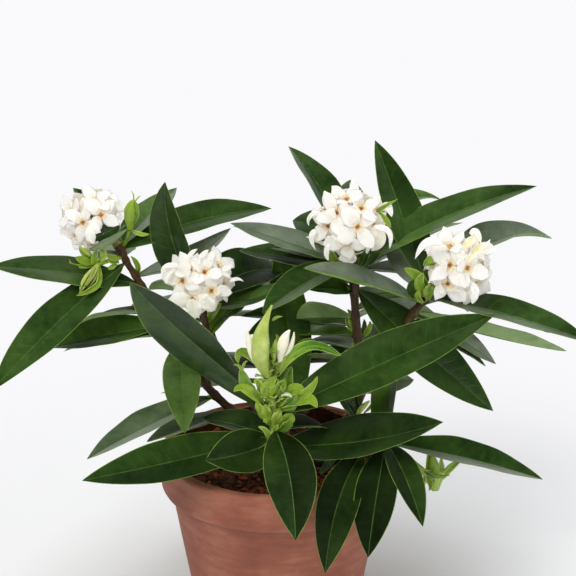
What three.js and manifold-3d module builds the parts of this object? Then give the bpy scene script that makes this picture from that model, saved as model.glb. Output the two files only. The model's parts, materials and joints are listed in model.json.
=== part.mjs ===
// Daphne shrub in its round pot: a forking evergreen shrub about 0.27 m tall with its pot.
// Millimetres, +Z up. The origin is the centre of the pot's flat underside; +X is to the
// right and +Y to the back of the plant's best side.
// A bearing is in degrees in the XY plane: 0 is +X, 90 is +Y (back), -90 is the front.
// A slope is in degrees above the horizontal.
import * as THREE from "three";
import { mergeVertices } from "three/addons/utils/BufferGeometryUtils.js";
import Module from "manifold-3d";

const wasm = await Module();
wasm.setup();

// ---- Driving dimensions ----------------------------------------------------------------
const GAP = 0.35; // clearance between touching solids
const POT = {
  height: 100,
  footRadius: 47,
  waistRadius: 60, // outside, just under the rim band
  waistHeight: 76,
  rimFoot: 78.5, // underside of the rim band
  rimRadius: 66,
  rimInner: 60.5,
  floor: 8,
  floorRadius: 42,
  sides: 36,
};
const SOIL = { top: 91, edge: 88.6, crownRadius: 20, clearance: 0.9, sides: 36 };
const TRUNK = {
  // height above the pot's foot, radius, lean in x and y
  stations: [
    [91 + GAP, 9.8, 0, 1.2],
    [94.5, 8, 0.1, 1],
    [100, 6.7, 0.4, 0.7],
    [106, 6, 0.7, 0.2],
    [110, 6.4, 0.9, 0],
    [113, 4.6, 1, 0],
  ],
  sides: 10,
  roots: 3, // swellings where the roots leave
  flare: 0.14,
};
const LIMB_SIDES = 6;
const LEAF = {
  blades: [0.17, 0.5, 0.83], // where along the leaf the sections of its pad lie
  crown: 1.6, // pad's ridge above the midrib
  keel: 3.0, // pad's keel below the midrib
  bulge: 1.9, // exponent sum of the outline; 1.9 is a pointed oval
};
const COLLAR = { radius: 5.4, reach: 4.5, step: 9 }; // growth round a stem where its leaves sit
const WHORL_BREAK = 17; // bare stem longer than this parts one mass from the next
const SMALLEST_LEAF = 39; // shorter leaves are left to the finish

// Each bough: where it springs from, its end radii, its run as [bearing, slope, length],
// the radius of the flower head on its tip, and its leaves as
// [distance along the run, bearing, slope, length, droop, sweep, roll, width, fold].
// Droop and sweep are how far slope and bearing turn from a leaf's foot to its tip.
const BOUGHS = [
  {
    name: "left",
    from: "trunk",
    start: [0.8, -0.5, 107],
    radius: [2.6, 1.7],
    run: [[-154, 35, 35], [173, 45, 13], [167, 44, 12], [154, 54, 23], [141, 54, 22], [153, 47, 17.5], [158, 53, 11], [154, 61, 12], [159, 45, 11]],
    head: 19.5,
    leaves: [
      [35.5, -150.5, -10, 52.5, -3, -2, 8, 25, 14],
      [47.5, -152.5, -9.5, 81, 12, 1, -1, 26, 16],
      [82.5, -84, -9.5, 63.5, 34, 0, 2, 22, 22],
      [92.3, 176.2, -3.2, 69.4, 8.6, 13.8, -20.2, 24.9, 21],
      [96, -174.5, -8.5, 69, 2, 0, -17, 26, 16],
      [102, 155.5, -0.5, 59, 32, -3, 10, 20, 19],
      [122.5, -163, 18, 85.5, 10, 0, -19, 26, 6],
      [128.5, 28.5, -4.5, 64, -44, -1, 4, 20, 15],
      [137.5, -131, -18.5, 111, 11, 1, -17, 26, 14],
      [142.5, 148, -14, 63, 23, -2, -8, 17, 11],
      [144.5, 31.5, 17, 97, 23, -3, 21, 25, 16],
      [145.5, 97, -13, 69, 24, 6, 13, 21, 11],
      [146.5, 60, 21.5, 60, 4, -3, -5, 23, 15],
      [148.5, 128.5, 40, 49, 24, 1, 0, 16, 18],
      [148.5, 73, -11, 84, 14, -7, 10, 23, 16],
    ],
  },
  {
    name: "left_centre",
    from: "left",
    start: [-38.7, -11, 140.8],
    radius: [2.3, 1.8],
    run: [[83, 76, 20.5], [105, 69, 18], [133, 79, 9.5], [179, 79, 8]],
    head: 20,
    leaves: [
      [26.7, 61.6, 38.6, 26.1, 23.1, -32.8, 4.7, 11.0, 21],
      [45, 3, -0.5, 49, -30, 3, 9, 20, 15],
      [45, 134, -4, 70, 24, -5, 3, 21, 11],
      [48, 70, 4, 57, 21, -5, -4, 15, 16],
      [48.5, 139.5, 38.5, 71.5, -57, -1, -75, 24, 18],
      [48.5, 149.5, 19.5, 37.5, 41, -3, 33, 19, 19],
      [48.5, 45, 27.5, 63, 50, -2, 20, 35, 18],
    ],
  },
  {
    name: "centre",
    from: "trunk",
    start: [0.8, 0, 101],
    radius: [3.0, 2.1],
    run: [[1, 15.4, 40.0], [-2, 66.6, 21.1], [180, 90, 15.6], [-143, 80, 19], [-134, 81, 17.5], [-129, 85, 16.5], [-143, 83, 12.5], [-179, 87, 12.5]],
    head: 23,
    leaves: [
      [62.2, 24.5, 14.5, 33.5, 21, 1, 24, 18, 17],
      [78.7, 146, 8.5, 40.5, 30, -1, 17, 18, 19],
      [88.7, 145.5, 6, 39.5, 25, -1, 6, 22, 18],
      [98.7, 145, -10, 43.5, 6, -3, -2, 18, 15],
      [109.2, 144.5, -8, 43.5, 12, -6, 48, 24, 14],
      [125.2, -162, 23, 33.5, 22, 0, -23, 20, 17],
      [128.2, -11.5, -42, 103.5, -3, 0, 54, 27, 16],
      [131.2, 64.9, 66.8, 93.5, 93.1, -30.4, 20.1, 17.0, 22],
      [139.2, 147, -0.5, 75, 4, 1, -11, 26, 16],
      [140.2, 15, 30.5, 112.5, 21, -2, 15, 26, 16],
      [140.7, 146, 15, 53, 28, 5, -14, 16, 11],
      [142.2, 166, 14.5, 71.0, 0, 0, -5, 26, 11],
      [142.7, -151.5, -6.5, 59.5, 25, 2, -7, 26, 17],
      [144.2, 90, 33, 72, 24, -1, 0, 20, 18],
      [144.7, 127, 60, 78.5, 38, -1, 14, 26, 18],
      [144.7, 130.5, 35, 52.5, 48, -1, -42, 21, 19],
      [146.7, 88, -12, 55, 32, -1, 17, 16, 15],
    ],
  },
  {
    name: "right",
    from: "centre",
    start: [48.8, 0, 137.3],
    radius: [2.3, 1.8],
    run: [[-24, 59, 23.5], [-27, 57, 16], [-30, 63, 18.5], [-15, 48, 11], [-4, 50, 12.5]],
    head: 21,
    leaves: [
      [50.5, 18, -29.5, 58, 11, -2, 17, 18, 16],
      [55.5, 21, -30, 64, 11, -4, 30, 20, 16],
      [57, 17.5, -25.5, 99, -11, -3, -30, 26, 16],
      [64.5, -159.5, 27.5, 74.5, 11, -1, -11, 26, 16],
      [67.5, 128, -5, 59, 35, 7, 18, 18, 10],
      [69, -13, -5, 91.5, 13, -2, 10, 26, 15],
      [70.5, 117.5, 51, 94.5, 3, 0, 0, 25, 17],
      [70.5, 117.5, 24, 56.5, -9, -5, -22, 21, 17],
      [70.5, 93, -6, 53, 16, -5, 12, 15, 13],
      [73.5, 62, -4, 74, 38, -6, 12, 23, 17],
      [75.5, 27, 50, 80.5, 72, -4, 3, 29, 25],
    ],
  },
  {
    name: "front",
    from: "trunk",
    start: [0.6, 0, 106],
    radius: [2.8, 2.3],
    run: [[-91, 13, 25.5], [-90, 33, 20.5], [-97, 53, 13.5], [176, 85, 16.5], [-180, 81, 14.5], [-180, 88, 12.5]],
    leaves: [
      [44, -130, 1, 56.5, -14, -3, -49, 26, 17],
      [25.5, -28.4, 10.4, 106.7, -19.0, -2.4, 30.9, 29.5, 17],
      [46, 165.5, 21.5, 44, 23, -1, -3, 26, 17],
      [50, -164, -8.5, 107, -3, -2, -39, 26, 16],
      [57, 37.5, -1.5, 38.5, 27, 1, 2, 22, 18],
      [58.5, -75.5, -7.5, 85, 19, -14, 2, 28, 15],
      [67.5, 8.5, 24.5, 130, 3, -1, 41, 31, 18],
      [69, -177.5, 37.5, 106.5, -15, 2, -112, 27, 8],
    ],
  },
  {
    name: "front_right",
    from: "trunk",
    start: [0.8, -1, 97],
    radius: [2.4, 1.9],
    run: [[-43.0, 1.0, 30.5], [-29.1, 28.5, 26.2], [-29.4, 32.7, 21.8], [-8.5, -38.0, 23.9], [-9.0, -37.0, 9.0]],
    leaves: [
      [79.5, 86.3, 35.6, 70.9, 27.8, -2.4, -52.4, 25.1, 19],
      [62.9, -118.2, -10.5, 80.2, 42.5, 18.7, -17.7, 23.6, 18],
      [78.5, -75.3, 0.0, 68.0, 33.3, 0.0, 2.5, 17.5, 19],
      [79.4, 1.7, -9.8, 89.8, 11.5, 1.9, 14.8, 23.7, 21],
      [79, -104, -30, 66, 30, 0, 0, 24, 18],
    ],
  },
  {
    name: "back_right",
    from: "trunk",
    start: [1, 2, 107],
    radius: [3.0, 2.0],
    run: [[44, 22, 31.5], [45, 33, 37], [79, 69, 30], [112, 75, 37.5]],
    head: 20,
    leaves: [
      [12, 102.5, 83.5, 102, 26, 3, 0, 26, 18],
      [78, -160.5, 38, 70.5, 58, 5, -20, 22, 19],
      [84, -168.5, 18, 68.5, 17, 0, -10, 22, 17],
      [107, -31, -7, 78, 39, -2, 14, 23, 17],
      [110, -157, 15, 67, 40, -7, 11, 21, 10],
      [113, 41, 20, 96, 25, 4, -15, 26, 11],
      [116, -54, 22, 58, 16, -1, 9, 18, 19],
      [119, 154, 17, 78, 11, 8, 11, 23, 10],
      [122, 25, 26, 86, 11, 2, -13, 23, 19],
      [125, -161, -5, 83, 18, 1, 7, 24, 12],
      [128, 102, -5, 79, 12, -4, -16, 21, 20],
    ],
  },
  {
    name: "back_far_right",
    from: "back_right",
    start: [44, 44, 139],
    radius: [2.3, 1.8],
    run: [[24, 22, 26], [11, 41, 22.5], [5, 40, 21]],
    head: 20,
    leaves: [
      [40.5, -9, -4, 78, 12, -1, -16, 21, 17],
      [43.5, -142, -14, 68, 41, 5, -17, 20, 11],
      [46.5, 61, 0, 83, 40, -1, 8, 24, 19],
      [52.5, 140, -12, 86, 39, 3, -3, 23, 14],
      [55.5, -4, -5, 74, 19, -7, -17, 21, 15],
      [61.5, 85, 7, 89, 21, 1, 2, 24, 14],
    ],
  },
  {
    name: "back_left",
    from: "trunk",
    start: [0, 2, 107],
    radius: [2.9, 2.0],
    run: [[128, 24, 25], [127, 31, 38.5], [129, 51, 28], [98, 77, 8.5]],
    head: 20,
    leaves: [
      [76, -172, 7, 82, 22, -6, 5, 23, 15],
      [79, 40, 30, 87, 11, -4, -5, 26, 19],
      [85, 141, -8, 73, 24, 1, 11, 22, 11],
      [88, 9, 5, 79, 29, -5, -16, 21, 11],
      [91, -149, 4, 87, 20, -8, 12, 24, 13],
      [94, 86, -4, 89, 32, -5, -17, 27, 12],
    ],
  },
  {
    name: "back",
    from: "trunk",
    start: [0.5, 3, 106.5],
    radius: [2.4, 1.9],
    run: [[93, 17, 28.5], [92, 29, 29.5], [100, 35, 5]],
    leaves: [
      [43, 168, -6, 71, 10, 3, 18, 19, 12],
      [46, 65, 25, 74, 18, -1, -17, 22, 13],
      [52, 137, -8, 91, 25, -6, -7, 25, 15],
      [55, 21, 0, 82, 12, 2, 9, 22, 20],
      [58, -143, 26, 58, 26, 7, 11, 16, 16],
      [61, 92, -15, 71, 33, 4, 13, 21, 11],
    ],
  },];

// Green shoots that are still opening: a spindle of bracts round the stem's tip, given as
// [distance past the spindle's foot, radius], and the longest bracts as leaves.
const BUDS = [
  {
    name: "bud_front",
    bough: "front",
    foot: 78,
    axis: [88, 85],
    spindle: [
      [0, 7],
      [8, 12],
      [24, 9],
      [42, 6.5],
    ],
    tip: 52,
    bracts: [
      [86, 10, 30, 38, 22, 0, 0, 15, 15],
      [86, 172, 44, 28, 40, 0, 0, 12, 15],
      [82, -50, 24, 25, 40, 0, 0, 11, 15],
      [82, 75, 24, 24, 30, 0, 0, 11, 15],
    ],
  },
  {
    name: "bud_front_right",
    bough: "front_right",
    foot: 100,
    axis: [178, 78],
    spindle: [
      [0, 3.8],
      [8, 5.4],
    ],
    tip: 23,
    bracts: [[102, 8, 34, 20, 10, 0, 0, 7, 15]],
  },
];

const COLOURS = {
  pot: [0x9c5a40, 0.85],
  soil: [0x3d241a, 0.95],
  bark: [0x5a3b30, 0.8],
  leaf: [0x4f6b35, 0.45],
  young: [0xb9c774, 0.5],
  blossom: [0xf4efe4, 0.55],
};

// ---- Geometry helpers ------------------------------------------------------------------
const rad = THREE.MathUtils.degToRad;
const heading = (bearing, slope) =>
  new THREE.Vector3(
    Math.cos(rad(slope)) * Math.cos(rad(bearing)),
    Math.cos(rad(slope)) * Math.sin(rad(bearing)),
    Math.sin(rad(slope)),
  );

// A three.js geometry as a solid that can be joined and cut.
function solidOf(geometry) {
  const g = geometry.index ? geometry : geometry.clone();
  g.deleteAttribute("normal");
  g.deleteAttribute("uv");
  const merged = mergeVertices(g, 1e-4);
  return new wasm.Manifold(
    new wasm.Mesh({
      numProp: 3,
      vertProperties: new Float32Array(merged.attributes.position.array),
      triVerts: new Uint32Array(merged.index.array),
    }),
  );
}

// A closed skin over rings of equal count, its ends closed by a point or by a flat fan.
function loft(rings, first = null, last = null) {
  const n = rings[0].length;
  const points = rings.flat();
  const faces = [];
  for (let k = 0; k + 1 < rings.length; k++)
    for (let i = 0; i < n; i++) {
      const a = k * n + i,
        b = k * n + ((i + 1) % n);
      faces.push(a, b, b + n, a, b + n, a + n);
    }
  const middle = (ring) =>
    ring.reduce((s, p) => s.add(p), new THREE.Vector3()).divideScalar(n);
  points.push(first ?? middle(rings[0]), last ?? middle(rings.at(-1)));
  const head = points.length - 2,
    tail = points.length - 1,
    top = (rings.length - 1) * n;
  for (let i = 0; i < n; i++) {
    faces.push(head, (i + 1) % n, i);
    faces.push(tail, top + i, top + ((i + 1) % n));
  }
  const g = new THREE.BufferGeometry().setFromPoints(points);
  g.setIndex(faces);
  return g;
}

// Rings round a line of stations, carried along without twist.
function tube(stations, radii, sides, turn = 0) {
  const rings = [];
  let side = new THREE.Vector3(1, 0, 0);
  stations.forEach((p, i) => {
    const before = stations[Math.max(0, i - 1)],
      after = stations[Math.min(stations.length - 1, i + 1)];
    const way = after.clone().sub(before).normalize();
    if (i === 0 && Math.abs(way.x) > 0.9) side = new THREE.Vector3(0, 1, 0);
    side.addScaledVector(way, -side.dot(way)).normalize();
    const over = way.clone().cross(side);
    const ring = [];
    for (let k = 0; k < sides; k++) {
      const a = (2 * Math.PI * k) / sides + turn;
      ring.push(
        p
          .clone()
          .addScaledVector(side, Math.cos(a) * radii[i])
          .addScaledVector(over, Math.sin(a) * radii[i]),
      );
    }
    rings.push(ring);
  });
  return loft(rings);
}

// A bough's run turned into points, with the distance along it of each.
function lineOf(bough) {
  const points = [new THREE.Vector3(...bough.start)],
    along = [0];
  for (const [bearing, slope, length] of bough.run) {
    points.push(
      points.at(-1).clone().addScaledVector(heading(bearing, slope), length),
    );
    along.push(along.at(-1) + length);
  }
  return { points, along, length: along.at(-1) };
}
function pointAt(line, s) {
  const i = Math.max(
    0,
    Math.min(
      line.points.length - 2,
      line.along.findIndex((d) => d > s) === -1
        ? line.points.length - 2
        : line.along.findIndex((d) => d > s) - 1,
    ),
  );
  const t = (s - line.along[i]) / (line.along[i + 1] - line.along[i]);
  return line.points[i].clone().lerp(line.points[i + 1], t);
}
// The stretch of a limb between two distances, tapering as the whole bough does.
function stretch(bough, line, s0, s1, grow = 0, radius = null) {
  const cuts = [
    s0,
    ...line.along.filter((d) => d > s0 + 1.5 && d < s1 - 1.5),
    s1,
  ];
  const at = (s) =>
    bough.radius[0] +
    ((bough.radius[1] - bough.radius[0]) * s) / line.length;
  return solidOf(
    tube(
      cuts.map((s) => pointAt(line, s)),
      cuts.map((s) => (radius ? radius(s) : at(s)) + grow),
      LIMB_SIDES,
    ),
  );
}

// Share of a leaf's half width at t, 0 at its foot and 1 at its tip.
const outline = (t) => Math.pow(4 * t * (1 - t), LEAF.bulge / 2);

// A leaf as a thick pad: diamond sections along its arching midrib, widest half way,
// with both halves raised by the fold.
function pad(foot, row, grow = 0) {
  const [, bearing, slope, length, droop, sweep, roll, width, fold] = row;
  const steps = 36;
  const p = foot.clone();
  const rings = [];
  const cut = LEAF.blades.map((t) => Math.round(t * steps));
  const reach = length + grow;
  let tip = null;
  for (let k = 0; k <= steps; k++) {
    if (cut.includes(k)) {
      const t = k / steps;
      const b = bearing + sweep * t,
        e = slope - droop * t;
      const way = heading(b, e);
      const flat = new THREE.Vector3(-Math.sin(rad(b)), Math.cos(rad(b)), 0);
      const up = way.clone().cross(flat);
      const c = Math.cos(rad(roll)),
        s = Math.sin(rad(roll));
      const across = flat
        .clone()
        .multiplyScalar(c)
        .addScaledVector(up, s);
      const above = up.clone().multiplyScalar(c).addScaledVector(flat, -s);
      const half = (outline(t) * width) / 2 + grow * 1.4;
      const thick = 0.45 + 0.55 * outline(t);
      const rise = Math.sin(rad(fold)) * half,
        run = Math.cos(rad(fold)) * half;
      const q = (u, v) =>
        p.clone().addScaledVector(across, u).addScaledVector(above, v);
      rings.push([
        q(run, rise),
        q(0, LEAF.crown * thick + grow * 1.3),
        q(-run, rise),
        q(0, -LEAF.keel * thick - grow * 1.3),
      ]);
    }
    if (k < steps) {
      const t = (k + 0.5) / steps;
      p.addScaledVector(
        heading(bearing + sweep * t, slope - droop * t),
        reach / steps,
      );
    } else tip = p.clone();
  }
  return { solid: solidOf(loft(rings, foot.clone(), tip)), tip };
}

// An uneven ball of blossom.
function ball(centre, radius, seed, grow = 0) {
  const g = new THREE.SphereGeometry(1, 8, 5);
  g.rotateX(Math.PI / 2);
  g.deleteAttribute("normal");
  g.deleteAttribute("uv");
  const m = mergeVertices(g, 1e-4);
  const a = m.attributes.position;
  for (let i = 0; i < a.count; i++) {
    const v = new THREE.Vector3().fromBufferAttribute(a, i);
    const bump =
      1 +
      0.06 * Math.sin(5 * v.x + 3 * v.y + seed) +
      0.05 * Math.cos(7 * v.z - 4 * v.y + 2 * seed);
    v.multiplyScalar(radius * bump * 0.97 + grow).add(centre);
    a.setXYZ(i, v.x, v.y, v.z);
  }
  return solidOf(m);
}

const join = (solids) =>
  solids.length === 1 ? solids[0] : wasm.Manifold.union(solids);
const largest = (solid) => {
  const pieces = solid.decompose();
  return pieces.reduce((a, b) => (b.volume() > a.volume() ? b : a));
};
const reaches = (a, b) => {
  const p = a.boundingBox(),
    q = b.boundingBox();
  return [0, 1, 2].every((i) => p.min[i] < q.max[i] && q.min[i] < p.max[i]);
};

// ---- Assembly --------------------------------------------------------------------------
const plant = new THREE.Group();
plant.name = "daphne_in_pot";
const placed = []; // what later solids keep clear of, each already grown by the gap

function clear(solid) {
  for (const p of placed)
    if (reaches(p, solid) && solid.intersect(p).volume() > 0)
      solid = solid.subtract(p);
  return largest(solid);
}
function place(name, solid, colour) {
  const m = solid.getMesh();
  const g = new THREE.BufferGeometry();
  const v = new Float32Array(m.numVert * 3);
  for (let i = 0; i < m.numVert; i++)
    v.set(m.vertProperties.subarray(i * m.numProp, i * m.numProp + 3), i * 3);
  g.setAttribute("position", new THREE.BufferAttribute(v, 3));
  g.setIndex(new THREE.BufferAttribute(new Uint32Array(m.triVerts), 1));
  g.computeVertexNormals();
  const [color, roughness] = COLOURS[colour];
  const mesh = new THREE.Mesh(
    g,
    new THREE.MeshStandardMaterial({ color, roughness, metalness: 0 }),
  );
  mesh.name = name;
  plant.add(mesh);
}
function turned(profile, sides) {
  const g = new THREE.LatheGeometry(
    profile.map(([r, z]) => new THREE.Vector2(r, z)),
    sides,
  );
  g.rotateX(Math.PI / 2); // the lathe turns about Y; its axis becomes +Z
  return solidOf(g);
}

// Pot: tapered wall, thick rim band with a rounded lip, flat foot.
const wallInner = (z) =>
  POT.floorRadius +
  ((POT.rimInner - 1 - POT.floorRadius) * (z - POT.floor)) /
    (SOIL.edge - POT.floor);
place(
  "pot",
  turned(
    [
      [0, 0],
      [POT.footRadius - 1.2, 0],
      [POT.footRadius, 1.4],
      [POT.waistRadius, POT.waistHeight],
      [POT.rimRadius - 1, POT.rimFoot],
      [POT.rimRadius, POT.height - 3],
      [POT.rimRadius - 2, POT.height],
      [POT.rimInner, POT.height - 1.6],
      [POT.rimInner - 1, SOIL.edge],
      [POT.floorRadius, POT.floor],
      [0, POT.floor],
    ],
    POT.sides,
  ),
  "pot",
);

// Soil: fills the pot to a little under the rim, level where the trunk stands.
place(
  "soil",
  turned(
    [
      [0, POT.floor + GAP],
      [wallInner(POT.floor + GAP) - SOIL.clearance, POT.floor + GAP],
      [wallInner(SOIL.edge) - SOIL.clearance, SOIL.edge],
      [SOIL.crownRadius, SOIL.top],
      [0, SOIL.top],
    ],
    SOIL.sides,
  ),
  "soil",
);

// Trunk: cut level at the soil, flared into shallow root swellings, slightly leaning, and
// thickening again into its fork. Its sections are level.
const trunkAt = (grow) =>
  solidOf(
    loft(
      TRUNK.stations.map(([z, r, x, y], i) =>
        Array.from({ length: TRUNK.sides }, (_, k) => {
          const a = (2 * Math.PI * k) / TRUNK.sides;
          const flare = i < 2 ? 1 + TRUNK.flare * Math.cos(TRUNK.roots * a + 0.6) : 1;
          return new THREE.Vector3(
            x + (r * flare + grow) * Math.cos(a),
            y + (r * flare + grow) * Math.sin(a),
            z,
          );
        }),
      ),
    ),
  );
place("trunk", trunkAt(0), "bark");
placed.push(trunkAt(GAP));

// The masses along one bough: runs of leaves with no long stretch of bare stem between.
function whorlsOf(bough) {
  const rows = bough.leaves.filter((r) => r[3] >= SMALLEST_LEAF);
  const groups = [];
  for (const row of rows) {
    const last = groups.at(-1);
    if (last && row[0] - last.at(-1)[0] <= WHORL_BREAK) last.push(row);
    else groups.push([row]);
  }
  return groups;
}

const lines = Object.fromEntries(BOUGHS.map((b) => [b.name, lineOf(b)]));
const masses = [];
for (const bough of BOUGHS) {
  const line = lines[bough.name];
  const groups = whorlsOf(bough);
  const bud = BUDS.find((b) => b.bough === bough.name);
  const spans = groups.map((g, i) => [
    g[0][0] - COLLAR.reach,
    i === groups.length - 1 && bough.head
      ? line.length
      : Math.min(line.length, g.at(-1)[0] + COLLAR.reach),
  ]);
  // Bare stretches of the bough, between the masses and up to the bud.
  const limbs = [];
  let from = 0;
  for (const [s0, s1] of spans) {
    if (s0 - GAP - from > 4) limbs.push([from, s0 - GAP]);
    from = s1 + GAP;
  }
  const end = bud ? bud.foot - GAP : 0;
  if (end - from > 4) limbs.push([from, end]);
  limbs.forEach(([s0, s1], i) => {
    const kind = ["front", "front_right", "back"].includes(bough.name)
      ? "stem_"
      : "bough_";
    place(
      kind + bough.name + (limbs.length > 1 ? "_" + (i + 1) : ""),
      clear(stretch(bough, line, s0, s1)),
      "bark",
    );
    placed.push(stretch(bough, line, s0, s1, GAP));
  });
  groups.forEach((rows, i) => {
    const tag = groups.length === 1 ? "" : i === groups.length - 1 ? "_top" : i === 0 ? "_low" : "_mid";
    masses.push({ bough, line, rows, span: spans[i], name: "foliage_" + bough.name + tag });
  });
}
// A mass is its collar round the stem and its leaf pads, cut back from what was placed before.
for (const m of masses) {
  const [s0, s1] = m.span;
  const swell = (s) =>
    COLLAR.radius *
    (s === s0 || s === s1 ? 0.75 : 1 + 0.12 * Math.sin(s * 0.9)) * (m.rows.length === 1 ? 0.85 : 1);
  m.parts = [];
  m.grown = [];
  m.parts.push(stretch(m.bough, m.line, s0, s1, 0, swell));
  m.grown.push(stretch(m.bough, m.line, s0, s1, GAP, swell));
  m.tips = [];
  for (const row of m.rows) {
    const foot = pointAt(m.line, row[0]);
    const a = pad(foot, row);
    m.parts.push(a.solid);
    m.tips.push(a.tip);
    m.grown.push(pad(foot, row, GAP).solid);
  }
  m.solid = clear(join(m.parts));
  place(m.name, m.solid, "leaf");
  placed.push(...m.grown);
}

// Opening shoots.
for (const bud of BUDS) {
  const bough = BOUGHS.find((b) => b.name === bud.bough),
    line = lines[bud.bough];
  const foot = pointAt(line, Math.min(bud.foot, line.length));
  const way = heading(...bud.axis);
  const build = (grow) => {
    const stations = bud.spindle.map(([d]) => foot.clone().addScaledVector(way, d));
    const radii = bud.spindle.map(([, r]) => r + grow);
    stations.push(foot.clone().addScaledVector(way, bud.tip + grow));
    radii.push(0.7 + grow);
    return join([
      solidOf(tube(stations, radii, 6)),
      ...bud.bracts.map((row) => pad(pointAt(line, Math.min(row[0], line.length)), row, grow).solid),
    ]);
  };
  place(bud.name, clear(build(0)), "young");
  placed.push(build(GAP));
}

// Flower heads on the bough tips.
BOUGHS.forEach((bough, i) => {
  if (!bough.head) return;
  const line = lines[bough.name];
  const way = line.points.at(-1).clone().sub(line.points.at(-2)).normalize();
  const centre = line.points.at(-1).clone().addScaledVector(way, bough.head * 0.5);
  place("blossom_" + bough.name, clear(ball(centre, bough.head, i)), "blossom");
  placed.push(ball(centre, bough.head, i, GAP));
});

export default plant;
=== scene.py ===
# Daphne shrub in its pot: the finished look of every part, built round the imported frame.
# Lengths in the tables are millimetres, bearings and slopes degrees; objects are in metres.
import bpy, json, math
import numpy as np
from mathutils import Vector, Matrix, noise

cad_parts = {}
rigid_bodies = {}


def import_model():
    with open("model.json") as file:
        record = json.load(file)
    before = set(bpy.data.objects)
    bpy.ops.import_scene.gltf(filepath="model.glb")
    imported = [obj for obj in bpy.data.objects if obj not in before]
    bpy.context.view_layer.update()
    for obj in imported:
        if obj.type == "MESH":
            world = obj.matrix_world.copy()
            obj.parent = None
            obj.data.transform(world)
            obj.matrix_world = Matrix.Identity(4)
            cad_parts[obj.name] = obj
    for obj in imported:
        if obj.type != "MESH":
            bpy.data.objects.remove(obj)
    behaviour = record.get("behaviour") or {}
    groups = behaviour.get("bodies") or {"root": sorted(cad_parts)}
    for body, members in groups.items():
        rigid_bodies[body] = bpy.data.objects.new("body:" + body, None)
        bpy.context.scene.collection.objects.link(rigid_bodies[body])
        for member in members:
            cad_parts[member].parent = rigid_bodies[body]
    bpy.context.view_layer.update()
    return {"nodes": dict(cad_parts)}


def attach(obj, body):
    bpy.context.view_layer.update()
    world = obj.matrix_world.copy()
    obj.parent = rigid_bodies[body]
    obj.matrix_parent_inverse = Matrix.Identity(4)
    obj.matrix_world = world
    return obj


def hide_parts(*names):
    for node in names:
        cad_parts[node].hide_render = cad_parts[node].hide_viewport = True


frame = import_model()
MM = 0.001

# ---------------------------------------------------------------- camera
def add_camera():
    cam = bpy.data.cameras.new("camera")
    cam.sensor_width = 36.0
    cam.lens = 113.6
    cam.clip_start = 0.02
    cam.clip_end = 50.0
    ob = bpy.data.objects.new("camera", cam)
    bpy.context.scene.collection.objects.link(ob)
    pitch = math.radians(20.0)
    aim = Vector((0.0062, 0.0, 0.1952))
    way = Vector((0.0, math.cos(pitch), -math.sin(pitch)))
    ob.location = aim - way * 1.0
    ob.rotation_euler = way.to_track_quat("-Z", "Y").to_euler()
    bpy.context.scene.camera = ob
add_camera()

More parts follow.
